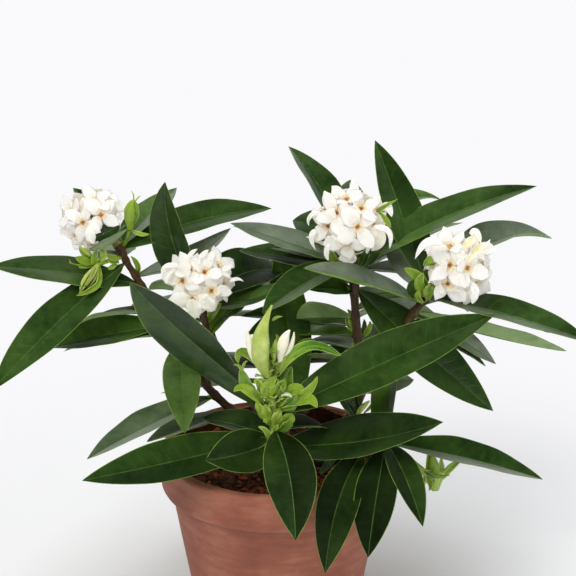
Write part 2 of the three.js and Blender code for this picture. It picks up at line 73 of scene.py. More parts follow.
# ---------------------------------------------------------------- the plant's measures
# Each bough: start, end radii, run of [bearing, slope, length], flower-head radius and
# leaves [distance along, bearing, slope, length, droop, sweep, roll, width, fold].
BOUGHS = {
    "A": {"name": "left", "start": [0.8, -0.5, 107.0],
          "run": [[-154, 35, 35], [173, 45, 13], [167, 44, 12], [154, 54, 23], [141, 54, 22], [153, 47, 17.5], [158, 53, 11], [154, 61, 12], [159, 45, 11]],
          "leaves": [
              [35.5, -150.5, -10, 52.5, -3, -2, 8, 25, 14],
              [47.5, -152.5, -9.5, 81, 12, 1, -1, 26, 16],
              [82.5, -84, -9.5, 63.5, 34, 0, 2, 22, 22],
              [92.3, 176.2, -3.2, 69.4, 8.6, 13.8, -20.2, 24.9, 21],
              [96, -174.5, -8.5, 69, 2, 0, -17, 26, 16],
              [102, 155.5, -0.5, 59, 32, -3, 10, 20, 19],
              [122.5, -163, 18, 85.5, 10, 0, -19, 26, 6],
              [128.5, 28.5, -4.5, 64, -44, -1, 4, 20, 15],
              [137.5, -131, -18.5, 111, 11, 1, -17, 26, 14],
              [142.5, 148, -14, 63, 23, -2, -8, 17, 11],
              [144.5, 31.5, 17, 97, 23, -3, 21, 25, 16],
              [145.5, 97, -13, 69, 24, 6, 13, 21, 11],
              [146.5, 60, 21.5, 60, 4, -3, -5, 23, 15],
              [148.5, 128.5, 40, 49, 24, 1, 0, 16, 18],
              [148.5, 73, -11, 84, 14, -7, 10, 23, 16]]},
    "B": {"name": "left_centre", "start": [-38.7, -11, 140.8],
          "run": [[83, 76, 20.5], [105, 69, 18], [133, 79, 9.5], [179, 79, 8]],
          "leaves": [
              [26.7, 61.6, 38.6, 26.1, 23.1, -32.8, 4.7, 11.0, 21],
              [45, 3, -0.5, 49, -30, 3, 9, 20, 15],
              [45, 134, -4, 70, 24, -5, 3, 21, 11],
              [48, 70, 4, 57, 21, -5, -4, 15, 16],
              [48.5, 139.5, 38.5, 71.5, -57, -1, -75, 24, 18],
              [48.5, 149.5, 19.5, 37.5, 41, -3, 33, 19, 19],
              [48.5, 45, 27.5, 63, 50, -2, 20, 35, 18]]},
    "C": {"name": "centre", "start": [0.8, 0, 101.0],
          "run": [[1, 15.4, 40.0], [-2, 66.6, 21.1], [180, 90, 15.6], [-143, 80, 19], [-134, 81, 17.5], [-129, 85, 16.5], [-143, 83, 12.5], [-179, 87, 12.5]],
          "leaves": [
              [62.2, 24.5, 14.5, 33.5, 21, 1, 24, 18, 17],
              [78.7, 146, 8.5, 40.5, 30, -1, 17, 18, 19],
              [88.7, 145.5, 6, 39.5, 25, -1, 6, 22, 18],
              [98.7, 145, -10, 43.5, 6, -3, -2, 18, 15],
              [109.2, 144.5, -8, 43.5, 12, -6, 48, 24, 14],
              [125.2, -162, 23, 33.5, 22, 0, -23, 20, 17],
              [128.2, -11.5, -42, 103.5, -3, 0, 54, 27, 16],
              [131.2, 64.9, 66.8, 93.5, 93.1, -30.4, 20.1, 17.0, 22],
              [139.2, 147, -0.5, 75, 4, 1, -11, 26, 16],
              [140.2, 15, 30.5, 112.5, 21, -2, 15, 26, 16],
              [140.7, 146, 15, 53, 28, 5, -14, 16, 11],
              [142.2, 166, 14.5, 71.0, 0, 0, -5, 26, 11],
              [142.7, -151.5, -6.5, 59.5, 25, 2, -7, 26, 17],
              [144.2, 90, 33, 72, 24, -1, 0, 20, 18],
              [144.7, 127, 60, 78.5, 38, -1, 14, 26, 18],
              [144.7, 130.5, 35, 52.5, 48, -1, -42, 21, 19],
              [146.7, 88, -12, 55, 32, -1, 17, 16, 15]]},
    "D": {"name": "right", "start": [48.8, 0, 137.3],
          "run": [[-24, 59, 23.5], [-27, 57, 16], [-30, 63, 18.5], [-15, 48, 11], [-4, 50, 12.5]],
          "leaves": [
              [50.5, 18, -29.5, 58, 11, -2, 17, 18, 16],
              [55.5, 21, -30, 64, 11, -4, 30, 20, 16],
              [57, 17.5, -25.5, 99, -11, -3, -30, 26, 16],
              [64.5, -159.5, 27.5, 74.5, 11, -1, -11, 26, 16],
              [67.5, 128, -5, 59, 35, 7, 18, 18, 10],
              [69, -13, -5, 91.5, 13, -2, 10, 26, 15],
              [70.5, 117.5, 51, 94.5, 3, 0, 0, 25, 17],
              [70.5, 117.5, 24, 56.5, -9, -5, -22, 21, 17],
              [70.5, 93, -6, 53, 16, -5, 12, 15, 13],
              [73.5, 62, -4, 74, 38, -6, 12, 23, 17],
              [75.5, 27, 50, 80.5, 72, -4, 3, 29, 25]]},
    "E": {"name": "front", "start": [0.6, 0, 106.0],
          "run": [[-91, 13, 25.5], [-90, 33, 20.5], [-97, 53, 13.5], [176, 85, 16.5], [-180, 81, 14.5], [-180, 88, 12.5]],
          "leaves": [
              [44, -130, 1, 56.5, -14, -3, -49, 26, 17],
              [25.5, -28.4, 10.4, 106.7, -19.0, -2.4, 30.9, 32.5, 17],
              [46, 165.5, 21.5, 44, 23, -1, -3, 26, 17],
              [50, -164, -8.5, 107, -3, -2, -39, 26, 16],
              [57, 37.5, -1.5, 38.5, 27, 1, 2, 22, 18],
              [58.5, -75.5, -7.5, 85, 19, -14, 2, 28, 15],
              [67.5, 8.5, 24.5, 130, 3, -1, 41, 31, 18],
              [66.7, -205.9, 38.3, 111.6, -13.4, 65.9, -122.1, 31.4, 8]]},
    "G": {"name": "front_right", "start": [0.8, -1, 97.0],
          "run": [[-43.0, 1.0, 30.5], [-29.1, 28.5, 26.2], [-29.4, 32.7, 21.8], [-8.5, -38.0, 23.9], [-9.0, -37.0, 9.0]],
          "leaves": [
              [79.5, 86.3, 35.6, 70.9, 27.8, -2.4, -52.4, 25.1, 19],
              [62.9, -118.2, -10.5, 80.2, 42.5, 18.7, -17.7, 23.6, 18],
              [78.5, -75.3, 0.0, 68.0, 33.3, 0.0, 2.5, 17.5, 19],
              [79.4, 1.7, -9.8, 89.8, 11.5, 1.9, 14.8, 23.7, 21],
              [79, -104, -30, 66, 30, 0, 0, 24, 18]]},
    "J": {"name": "back_right", "start": [1, 2, 107.0],
          "run": [[44, 22, 31.5], [45, 33, 37], [79, 69, 30], [112, 75, 37.5]],
          "leaves": [
              [12, 102.5, 83.5, 102, 26, 3, 0, 26, 18],
              [78, -160.5, 38, 70.5, 58, 5, -20, 22, 19],
              [84, -168.5, 18, 68.5, 17, 0, -10, 22, 17],
              [107, -31, -7, 78, 39, -2, 14, 23, 17],
              [110, -157, 15, 67, 40, -7, 11, 21, 10],
              [113, 41, 20, 96, 25, 4, -15, 26, 11],
              [116, -54, 22, 58, 16, -1, 9, 18, 19],
              [119, 154, 17, 78, 11, 8, 11, 23, 10],
              [122, 25, 26, 86, 11, 2, -13, 23, 19],
              [125, -161, -5, 83, 18, 1, 7, 24, 12],
              [128, 102, -5, 79, 12, -4, -16, 21, 20]]},
    "K": {"name": "back_far_right", "start": [44, 44, 139.0],
          "run": [[24, 22, 26], [11, 41, 22.5], [5, 40, 21]],
          "leaves": [
              [40.5, -9, -4, 78, 12, -1, -16, 21, 17],
              [43.5, -142, -14, 68, 41, 5, -17, 20, 11],
              [46.5, 61, 0, 83, 40, -1, 8, 24, 19],
              [52.5, 140, -12, 86, 39, 3, -3, 23, 14],
              [55.5, -4, -5, 74, 19, -7, -17, 21, 15],
              [61.5, 85, 7, 89, 21, 1, 2, 24, 14]]},
    "H": {"name": "back_left", "start": [0, 2, 107.0],
          "run": [[128, 24, 25], [127, 31, 38.5], [129, 51, 28], [98, 77, 8.5]],
          "leaves": [
              [76, -172, 7, 82, 22, -6, 5, 23, 15],
              [79, 40, 30, 87, 11, -4, -5, 26, 19],
              [85, 141, -8, 73, 24, 1, 11, 22, 11],
              [88, 9, 5, 79, 29, -5, -16, 21, 11],
              [91, -149, 4, 87, 20, -8, 12, 24, 13],
              [94, 86, -4, 89, 32, -5, -17, 27, 12]]},
    "L": {"name": "back", "start": [0.5, 3, 106.5],
          "run": [[93, 17, 28.5], [92, 29, 29.5], [100, 35, 5]],
          "leaves": [
              [43, 168, -6, 71, 10, 3, 18, 19, 12],
              [46, 65, 25, 74, 18, -1, -17, 22, 13],
              [52, 137, -8, 91, 25, -6, -7, 25, 15],
              [55, 21, 0, 82, 12, 2, 9, 22, 20],
              [58, -143, 26, 58, 26, 7, 11, 16, 16],
              [61, 92, -15, 71, 33, 4, 13, 21, 11]]},
}
MASSES = {"A": ["foliage_left_low", "foliage_left_mid", "foliage_left_top"], "B": ["foliage_left_centre"], "C": ["foliage_centre_low", "foliage_centre_top"], "D": ["foliage_right"], "E": ["foliage_front_low", "foliage_front_top"], "G": ["foliage_front_right"], "J": ["foliage_back_right_low", "foliage_back_right_mid", "foliage_back_right_top"], "K": ["foliage_back_far_right"], "H": ["foliage_back_left"], "L": ["foliage_back"]}
# Flower heads: centre, radius, flowers [bearing, slope, roll, size, opening, lift, look] from the centre.
HEADS = {
    "C": {"name": "centre", "centre": [39.6, -6, 235.3], "radius": 22.5, "count": 19,
          "flowers": [(-126, 33, 65, 0.92, 64, 0.6, "petal"), (-142, 3, 35, 0.95, 78, 0.3, "petal"), (-77, 8, 57, 1.0, 80, 1.3, "petal"), (-99, -23, -5, 0.92, 76, 1.4, "petal"), (-56, 45, 70, 0.84, 60, 0.0, "petal"), (-122, 76, 25, 0.78, 58, -0.6, "petal")]},
    "D": {"name": "right", "centre": [96.1, -16, 214.2], "radius": 21, "count": 17,
          "flowers": [(-124, 62, 45, 0.86, 62, 0.0, "petal"), (-106, 18, 48, 1.12, 82, 1.3, "petal"), (-111, -26, 40, 1.0, 78, 0.7, "petal"), (-67, 11, 20, 0.95, 52, 0.2, "petal"), (-21, 45, 20, 0.95, 48, 0.6, "petal_warm"), (-23, -39, 30, 1.05, 72, 0.6, "petal")]},
    "A": {"name": "left", "centre": [-101.9, 20, 228.0], "radius": 19.5, "count": 15,
          "flowers": [(-63, 27, 42, 0.98, 80, 1.6, "petal"), (-107, 11, 20, 0.98, 80, 1.4, "petal"), (-47, -28, 0, 1.0, 60, 0.0, "none"), (-67, 66, 50, 0.9, 62, 0.2, "petal"), (-157, 25, 30, 1.0, 74, 0.2, "petal"), (-158, -39, 20, 0.95, 80, 0, "petal"), (15, 28, 10, 0.85, 62, -0.5, "petal")]},
    "B": {"name": "left_centre", "centre": [-42, -4, 199.6], "radius": 20, "count": 18,
          "flowers": [(-61, -1, 5, 0.98, 82, 0.9, "petal"), (-103, -18, -2, 1.05, 80, 1.0, "petal"), (-132, 19, 15, 1.05, 78, 0.8, "petal"), (-125, 49, 45, 0.86, 60, 0.0, "petal"), (-71, 45, 30, 1.0, 60, 0.3, "petal"), (19, 39, 20, 1.0, 64, 0.2, "petal"), (1, -3, 20, 0.9, 72, -0.3, "petal"), (171, 31, 30, 0.95, 72, 0.0, "petal")]},
    "J": {"name": "back_right", "centre": [42.2, 66, 212.0], "radius": 20, "count": 15,
          "flowers": []},
    "K": {"name": "back_far_right", "centre": [103.5, 60, 187.6], "radius": 20, "count": 15,
          "flowers": []},
    "H": {"name": "back_left", "centre": [-45.3, 62, 175.8], "radius": 20, "count": 15,
          "flowers": []},
}
# Bracts and young leaves: group, kind, width, way the upper side looks, fold, curl, widest place, curve.
BRACTS = [
    ("front", "turning", 6.6, (0.1, -0.8, 0.9), 16, 0.1, 0.5, [[0.4, -50.0, 164.3], [8.3, -52.0, 177.7], [20.4, -52.0, 183.4], [34.7, -50.0, 175.2]]),
    ("front", "green", 5.5, (0, -0.7, 0.8), 12, 0.1, 0.4, [[7.3, -48.0, 170.9], [14.1, -48.0, 180.6], [21.0, -49.0, 183.3]]),
    ("front", "lime", 5.2, (0.1, -1, 0.5), 16, 0.2, 0.55, [[-5.5, -50.0, 164.9], [-11.7, -52.0, 175.4], [-18.5, -53.0, 179.8], [-20.6, -54.0, 176.8], [-19.9, -54.0, 172.3]]),
    ("front", "lime", 3.0, (0, -1, 0.3), 10, 0, 0.5, [[2.0, -49.0, 165.1], [1.4, -50.0, 169.5], [2.5, -51.0, 172.8]]),
    ("front", "pale", 1.6, (0, -1, 0.5), 10, 0, 0.4, [[-1.9, -51.0, 195.4], [-0.1, -51.0, 197.3], [3.3, -51.0, 197.9]]),
    ("front", "olive", 4.2, (0.7, -1, 0.2), 18, 0.2, 0.5, [[-2.3, -49.0, 165.6], [1.4, -48.5, 176.9], [-0.1, -49.0, 187.3]]),
    ("front", "lime", 7.4, (-0.1, -1, 0.2), 20, 0.2, 0.45, [[-3.9, -51.0, 149.2], [-4.4, -54.0, 158.6], [0.4, -54.0, 164.9]]),
    ("front", "lime", 6.4, (0.5, -1, 0.2), 20, 0.3, 0.5, [[-2.8, -51.0, 149.8], [1.4, -54.0, 158.0], [3.6, -54.0, 163.1], [3.8, -55.0, 156.1]]),
    ("front", "pale", 4.6, (-0.3, -1, 0.3), 18, 0.1, 0.5, [[-5.0, -51.0, 150.9], [-6.5, -53.0, 157.0], [-4.4, -52.0, 164.6]]),
    ("front", "pale", 3.0, (-0.6, -1, 0.3), 14, 0.1, 0.5, [[-7.1, -50.0, 147.6], [-7.6, -52.0, 154.8], [-5.5, -52.0, 160.0]]),
    ("front", "mid", 7.4, (-0.2, -1, 0.4), 22, 0.2, 0.55, [[-7.7, -50.0, 148.7], [-15.5, -52.0, 157.7], [-17.6, -53.0, 165.6], [-19.1, -52.0, 169.2]]),
    ("front", "lime", 1.5, (0, -1, 0.4), 8, 0, 0.4, [[-18.1, -53.0, 167.3], [-19.6, -53.0, 170.7], [-22.8, -53.0, 171.3]]),
    ("front", "lime", 1.4, (0, -1, 0.4), 8, 0, 0.4, [[-17.6, -53.0, 167.9], [-17.0, -53.0, 171.9], [-14.9, -52.0, 173.2]]),
    ("front", "lime", 6.0, (-0.1, -0.8, 0.7), 14, 0.2, 0.5, [[-7.6, -51.0, 148.6], [-14.4, -54.0, 157.4], [-19.7, -55.0, 160.1], [-22.6, -56.0, 157.1]]),
    ("front", "mid", 4.6, (-0.3, -1, 0.1), 14, 0.3, 0.5, [[-7.1, -50.0, 147.0], [-10.2, -53.0, 153.5], [-11.3, -54.0, 158.6]]),
    ("front", "lime", 5.0, (-0.5, -1, 0.0), 26, 0.4, 0.55, [[-8.7, -50.0, 149.9], [-8.1, -53.0, 158.7], [-10.2, -54.0, 163.7], [-11.8, -55.0, 161.3]]),
    ("front", "pale", 3.4, (0.4, -1, 0.0), 26, 0.4, 0.55, [[-8.2, -50.0, 151.1], [-6.5, -53.0, 159.3], [-8.6, -54.0, 164.3]]),
    ("front", "mid", 8.0, (-0.1, -1, 0.3), 22, 0.3, 0.5, [[2.5, -49.0, 148.3], [5.1, -48.0, 156.0], [5.7, -47.0, 163.1], [8.3, -47.0, 168.2]]),
    ("front", "lime", 9.0, (0.2, -0.9, 0.5), 26, 0.3, 0.55, [[1.4, -51.0, 148.0], [7.3, -53.0, 155.2], [12.0, -53.0, 158.1], [14.1, -54.0, 154.5]]),
    ("front", "mid", 7.0, (0.3, -1, 0.0), 24, 0.3, 0.55, [[1.9, -52.0, 146.1], [7.8, -54.0, 150.5], [11.0, -54.0, 155.7]]),
    ("front", "white", 2.0, (0, -1, 0.6), 8, 0.3, 0.5, [[2.5, -55.0, 154.4], [6.2, -56.0, 155.7], [8.6, -55.0, 152.7]]),
    ("front", "lime", 5.2, (-0.35, -1, 0.3), 24, 0.1, 0.45, [[7.3, -52.0, 149.0], [15.7, -54.0, 155.1], [20.5, -54.0, 160.9], [21.8, -53.0, 165.0]]),
    ("front", "lime", 6.4, (0.1, -1, 0.8), 12, 0.1, 0.5, [[6.7, -52.0, 148.5], [14.1, -55.0, 152.7], [18.9, -56.0, 153.1], [21.8, -57.0, 148.3]]),
    ("front", "mid", 5.0, (0.4, -1, -0.2), 14, 0.2, 0.5, [[0.9, -52.0, 145.0], [6.2, -54.0, 146.4], [11.0, -54.0, 148.2]]),
    ("front", "lime", 6.4, (-0.5, -1, 0.3), 22, 0.3, 0.5, [[-3.4, -50.0, 135.9], [-7.6, -53.0, 144.3], [-10.8, -53.0, 150.1]]),
    ("front", "lime", 6.0, (-0.2, -1, 0.4), 24, 0.3, 0.5, [[-2.4, -51.0, 135.8], [-5.0, -54.0, 144.1], [-5.5, -54.0, 149.3]]),
    ("front", "pale", 6.2, (0.2, -1, 0.4), 24, 0.3, 0.5, [[-0.2, -51.0, 134.0], [0.3, -54.0, 141.8], [3.0, -54.0, 145.3]]),
    ("front", "lime", 7.8, (0.4, -1, 0.4), 20, 0.3, 0.55, [[0.3, -51.0, 132.9], [5.7, -54.0, 140.1], [7.8, -54.0, 144.1]]),
    ("front", "mid", 6.6, (0.3, -1, 0.1), 20, 0.4, 0.6, [[-0.2, -51.0, 131.7], [5.1, -54.0, 136.0], [6.7, -55.0, 140.5]]),
    ("front", "lime", 5.0, (-0.4, -1, 0.4), 18, 0.2, 0.5, [[-1.3, -50.0, 133.6], [-3.9, -53.0, 139.0], [-7.1, -54.0, 138.9]]),
    ("front", "pale", 3.0, (-0.2, -1, 0.5), 16, 0.1, 0.5, [[-2.4, -49.0, 124.9], [-5.6, -51.0, 132.3], [-9.8, -52.0, 135.1]]),
    ("front", "lime", 3.6, (-0.1, -1, 0.5), 18, 0.1, 0.5, [[-2.9, -49.0, 123.7], [-4.5, -52.0, 131.0], [-7.7, -53.0, 134.9]]),
    ("front", "pale", 3.6, (0.2, -1, 0.3), 18, 0.1, 0.5, [[-2.4, -49.0, 124.9], [-1.3, -52.0, 132.1], [1.4, -53.0, 137.3]]),
    ("front_right", "lime", 5.6, (0.1, -1, 0.3), 24, 0.2, 0.45, [[86.5, -38.0, 92.0], [83.8, -40.0, 103.9], [83.4, -40.0, 117.7]]),
    ("front_right", "pale", 5.2, (0.5, -1, 0.2), 22, 0.2, 0.45, [[87.6, -38.0, 92.0], [89.3, -40.0, 102.7], [89.7, -39.0, 111.3]]),
    ("front_right", "lime", 4.4, (0.3, -1, 0.5), 16, 0.1, 0.5, [[88.6, -38.0, 94.4], [94.2, -40.0, 104.5], [101.1, -40.0, 109.9]]),
    ("front_right", "lime", 4.4, (-0.5, -1, 0.3), 18, 0.1, 0.5, [[86.5, -38.0, 92.0], [82.8, -40.0, 99.1], [82.2, -39.0, 104.6]]),
    ("right", "lime", 6.6, (-0.2, -1, 0.4), 22, 0.2, 0.5, [[89.2, -20.0, 216.7], [84.0, -24.0, 219.8], [78.1, -26.0, 217.1]]),
    ("right", "lime", 6.0, (-0.2, -1, 0.3), 16, 0.2, 0.5, [[81.9, -16.0, 201.6], [76.2, -18.0, 208.1], [68.5, -19.0, 213.5]]),
    ("right", "lime", 6.4, (-0.2, -1, 0.3), 22, 0.2, 0.5, [[83.1, -16.0, 195.3], [77.2, -20.0, 203.6], [79.0, -22.0, 211.8]]),
    ("right", "lime", 6.4, (0.1, -1, 0.3), 24, 0.3, 0.55, [[82.0, -17.0, 193.9], [82.1, -21.0, 200.6], [83.5, -22.0, 205.5]]),
    ("right", "green", 7.0, (-0.4, -1, 0.3), 18, 0.2, 0.5, [[77.8, -15.0, 192.6], [73.8, -16.0, 199.9], [75.2, -17.0, 206.6]]),
    ("right", "lime", 4.6, (-0.5, -1, 0.1), 22, 0.3, 0.5, [[79.9, -17.0, 192.7], [76.3, -20.0, 196.7], [77.2, -21.0, 201.1]]),
    ("right", "green", 6.4, (0.1, -1, 0.2), 18, 0.2, 0.5, [[81.5, -15.0, 198.4], [81.3, -15.0, 207.0], [82.8, -15.0, 212.1]]),
    ("centre", "lime", 2.6, (0, -1, 0.3), 20, 0.1, 0.3, [[53.8, -12.0, 242.8], [57.9, -15.0, 247.1], [64.6, -16.0, 251.3]]),
    ("centre", "soft", 4.6, (0.3, -1, 0.3), 16, 0.2, 0.6, [[55.4, -12.0, 244.5], [59.0, -14.0, 246.8], [61.6, -16.0, 241.3]]),
    ("centre", "lime", 3.0, (0.2, -1, 0.3), 16, 0.1, 0.5, [[54.9, -12.0, 242.8], [58.6, -14.0, 239.0], [61.3, -14.0, 234.5]]),
    ("centre", "lime", 5.0, (0, -1, 0.3), 20, 0.1, 0.5, [[32.8, -10.0, 211.0], [30.5, -13.0, 217.1], [28.2, -14.0, 222.0]]),
    ("centre", "green", 5.0, (0, -1, 0.3), 20, 0.1, 0.5, [[45.2, -10.0, 210.4], [47.2, -13.0, 217.1], [49.7, -14.0, 223.7]]),
    ("centre", "green", 4.6, (0.2, -1, 0.3), 20, 0.1, 0.5, [[48.5, -9.0, 211.2], [52.2, -10.0, 216.1], [56.4, -10.0, 220.7]]),
    # sheen pieces wear painted sheen: grey reflection painted into their colour
    ("left", "sheen", 5.4, (0, -0.6, 1), 8, 0.1, 0.45, [[-102.8, 3.0, 216.3], [-93.3, 3.0, 220.3], [-82.1, 11.0, 226.0]]),
    ("left", "dark", 10.0, (0, -1, 0.3), 4, 0, 0.5, [[-102.1, 9.0, 220.6], [-94.2, 8.0, 224.4], [-86.0, 10.0, 227.8]]),
    ("left", "lime", 4.6, (-0.3, -1, 0.4), 20, 0.2, 0.5, [[-101.1, 6.0, 210.0], [-105.3, 5.0, 213.8], [-108.1, 5.0, 217.9]]),
    ("left", "lime", 5.6, (0, -1, 0.6), 20, 0.2, 0.5, [[-98.9, 5.0, 208.0], [-104.8, 4.0, 209.5], [-110.7, 4.0, 211.9]]),
    ("left", "lime", 4.4, (0.2, -1, 0.2), 24, 0.2, 0.5, [[-98.3, 4.0, 205.5], [-100.0, 3.0, 211.0], [-98.1, 3.0, 216.3]]),
    ("left", "pale", 4.4, (0.1, -1, 0.3), 22, 0.2, 0.5, [[-98.3, 5.0, 208.6], [-95.0, 4.0, 213.0], [-97.9, 4.0, 217.4]]),
    ("left", "lime", 4.0, (0.1, -1, 0.5), 22, 0.2, 0.5, [[-86.5, 9.0, 209.5], [-90.1, 6.0, 210.6], [-93.8, 5.0, 213.5]]),
    ("left", "lime", 3.6, (0, -1, 0.5), 22, 0.2, 0.5, [[-87.2, 9.0, 207.2], [-90.7, 6.0, 208.8], [-93.3, 5.0, 210.6]]),
    ("left", "pale", 3.0, (0, -1, 0.5), 18, 0.2, 0.5, [[-88.2, 8.0, 206.4], [-90.8, 6.0, 205.3], [-93.2, 5.0, 204.5]]),
    ("left", "lime", 2.4, (0, -1, 0.7), 14, 0.1, 0.45, [[-98.8, 4.0, 207.2], [-106.6, 4.0, 206.0], [-113.1, 4.0, 207.2], [-114.1, 4.0, 210.7]]),
    ("left", "lime", 3.8, (0.5, -1, 0.1), 18, 0.1, 0.5, [[-97.6, 3.0, 207.6], [-95.8, -7.0, 201.8], [-100.2, -13.0, 198.8], [-108.4, -18.0, 197.2]]),
    ("left", "bud", 2.2, (-0.3, -1, 0.3), 8, 0.2, 0.5, [[-100.0, -1.0, 207.8], [-104.4, -9.0, 204.3], [-106.8, -14.0, 198.6]]),
    ("left", "tip", 1.0, (0, -1, 0.3), 8, 0.2, 0.5, [[-98.8, -1.5, 208.0], [-101.9, -9.5, 204.4], [-105.2, -14.0, 199.7]]),
    ("left", "tip", 1.0, (0.3, -1, 0.3), 8, 0.2, 0.5, [[-97.2, -1.0, 207.2], [-98.9, -7.5, 203.1], [-103.0, -12.0, 199.0]]),
    ("left", "lime", 2.6, (0.2, -1, 0.4), 18, 0.1, 0.5, [[-81.0, 14.0, 224.7], [-75.5, 13.0, 222.2], [-70.2, 13.0, 222.2]]),
    ("left", "lime", 4.6, (-0.5, -1, 0.3), 26, 0.2, 0.5, [[-81.3, 12.0, 226.0], [-81.7, 10.0, 235.3], [-78.7, 10.0, 243.0]]),
    ("left", "mid", 3.8, (0.4, -1, 0.3), 26, 0.2, 0.5, [[-80.2, 12.0, 226.0], [-77.1, 11.0, 235.0], [-78.2, 10.0, 243.3]]),
    ("left", "lime", 0.9, (0, -1, 0.3), 6, 0, 0.4, [[-78.5, 10.0, 241.6], [-78.1, 10.0, 245.0], [-79.4, 10.0, 248.1]]),
    ("left", "lime", 0.9, (0, -1, 0.3), 6, 0, 0.4, [[-78.0, 10.0, 241.0], [-76.3, 10.0, 243.3], [-74.0, 10.0, 245.6]]),
    ("left", "lime", 3.6, (-0.3, -1, 0.3), 20, 0.1, 0.5, [[-77.3, 14.0, 197.2], [-77.3, 13.0, 204.1], [-81.1, 13.0, 209.3]]),
    ("stem", "lime", 3.6, (0, -1, 0.3), 22, 0.1, 0.5, [[45.1, 2.0, 167.2], [40.6, 0.0, 172.8], [38.3, 0.0, 178.7]]),
    ("stem", "pale", 4.4, (0, -1, 0.3), 22, 0.2, 0.5, [[45.1, 2.0, 167.2], [41.6, -1.0, 175.5], [41.6, 0.0, 181.1]]),
    ("stem", "lime", 3.8, (0.2, -1, 0.3), 22, 0.1, 0.5, [[46.8, 2.0, 164.8], [50.6, 0.0, 170.4], [51.6, 0.0, 175.8]]),
    ("stem", "green", 3.2, (0.2, -1, 0.3), 22, 0.1, 0.5, [[46.8, 2.0, 164.8], [48.3, 0.0, 171.6], [48.3, 0.0, 176.9]]),
    ("stem", "lime", 2.0, (0, -1, 0.4), 14, 0, 0.5, [[48.9, -3.0, 121.5], [52.7, -5.0, 126.7], [56.2, -5.0, 133.1]]),
    ("stem", "dark", 7.0, (0.3, -1, 0.4), 16, 0, 0.5, [[44.5, -3.0, 119.0], [39.2, -5.0, 127.9], [33.5, -7.0, 139.7]]),
    ("stem", "dark", 5.0, (-0.2, -1, 0.3), 16, 0, 0.5, [[45.6, -2.0, 119.8], [43.8, -3.0, 128.2], [41.4, -4.0, 139.6]]),
    ("left_centre", "green", 6.0, (0.2, -1, 0.4), 18, 0.1, 0.5, [[-30.4, 1.0, 177.2], [-23.1, 0.0, 182.9], [-17.0, 0.0, 186.4]]),
    ("left_centre", "lime", 5.0, (0, -1, 0.3), 18, 0.1, 0.5, [[-38.2, 1.0, 174.8], [-35.2, -2.0, 181.8], [-30.6, -4.0, 187.9]]),
    # a sheen piece: painted sheen, grey reflection painted into its colour
    ("stem", "sheen", 5.4, (0, -0.6, 1), 10, 0, 0.5, [[23.9, -32.0, 97.6], [28.2, -32.0, 103.1], [33.7, -32.0, 109.8]]),
    ("petals", "petal", 3.6, (0, -1, 0.35), 10, 0.5, 0.3, [[51.8, -22.0, 237.7], [58.2, -23.0, 237.4], [61.2, -23.0, 233.0], [60.4, -21.0, 225.0]]),
    ("petals", "soft", 6.5, (0, -1, 0.35), 8, 0.2, 0.45, [[50.5, -17.0, 235.5], [55.9, -17.0, 231.5], [55.0, -16.0, 226.1], [50.8, -15.0, 221.8]]),
    ("petals", "petal", 3.4, (0, -1, 0.35), 8, 0.4, 0.3, [[21.2, -16.0, 234.0], [18.8, -16.0, 229.5], [21.0, -15.0, 222.4]]),
    ("petals", "petal", 2.8, (0, -1, 0.35), 8, 0.5, 0.35, [[25.4, -14.0, 242.9], [19.5, -14.0, 242.9], [16.6, -14.0, 239.0], [17.4, -14.0, 235.6]]),
    ("petals", "petal", 3.0, (0, -1, 0.35), 8, 0.2, 0.4, [[28.0, -22.0, 227.6], [26.7, -22.0, 223.1], [27.9, -21.0, 218.2]]),
    ("petals", "petal", 10.0, (0, -1, 0.35), 6, 0.1, 0.6, [[37.8, -17.0, 222.5], [38.2, -16.0, 218.8], [37.7, -14.0, 214.1]]),
    ("petals", "petal", 3.4, (0, -1, 0.35), 8, 0.3, 0.35, [[39.6, -15.0, 256.0], [40.9, -15.0, 259.9], [40.6, -15.0, 262.4]]),
    ("petals", "petal", 3.2, (0, -1, 0.35), 8, 0.3, 0.35, [[32.3, -12.0, 250.1], [30.7, -12.0, 252.9], [29.4, -12.0, 254.8]]),
    ("petals", "petal", 4.0, (0, -1, 0.35), 8, 0.3, 0.35, [[51.0, -14.0, 247.4], [53.6, -14.0, 250.2], [55.4, -14.0, 252.1]]),
    ("petals", "petal", 4.8, (0, -1, 0.35), 10, 0.4, 0.25, [[87.6, -34.0, 232.7], [81.7, -35.0, 234.7], [76.6, -35.0, 232.0], [73.1, -34.0, 223.8]]),
    ("petals", "petal", 6.6, (0, -1, 0.35), 4, 0.0, 0.5, [[84.8, -24.0, 229.4], [83.1, -24.0, 225.4], [82.7, -24.0, 220.9]]),
    ("petals", "petal", 2.6, (0, -1, 0.35), 8, 0.4, 0.3, [[109.1, -22.0, 225.9], [111.7, -22.0, 227.6], [113.9, -22.0, 230.9]]),
    ("petals", "petal", 3.6, (0, -1, 0.35), 8, 0.4, 0.35, [[102.9, -22.0, 233.7], [105.5, -22.0, 236.0], [107.7, -22.0, 233.2], [108.9, -22.0, 228.7]]),
    ("petals", "petal", 5.6, (0, -1, 0.35), 8, 0.3, 0.5, [[102.9, -31.0, 210.4], [105.5, -31.0, 204.2], [104.5, -30.0, 197.0]]),
    ("petals", "petal", 3.2, (0, -1, 0.35), 8, 0.3, 0.4, [[98.2, -30.0, 208.4], [98.9, -30.0, 203.9], [100.2, -29.0, 199.5]]),
    ("petals", "tan", 4.4, (0, -1, 0.35), 6, -0.3, 0.5, [[97.9, -33.0, 228.5], [101.4, -33.0, 233.0], [105.2, -31.0, 235.6]]),
    ("petals", "tan", 4.2, (0, -1, 0.35), 6, -0.3, 0.5, [[101.4, -31.0, 221.1], [104.4, -31.0, 226.7], [109.7, -29.0, 231.6]]),
    ("petals", "petal", 3.2, (0, -1, 0.35), 8, 0.5, 0.3, [[-52.9, -18.0, 214.3], [-57.7, -18.0, 214.9], [-61.2, -18.0, 213.2], [-62.1, -18.0, 209.8]]),
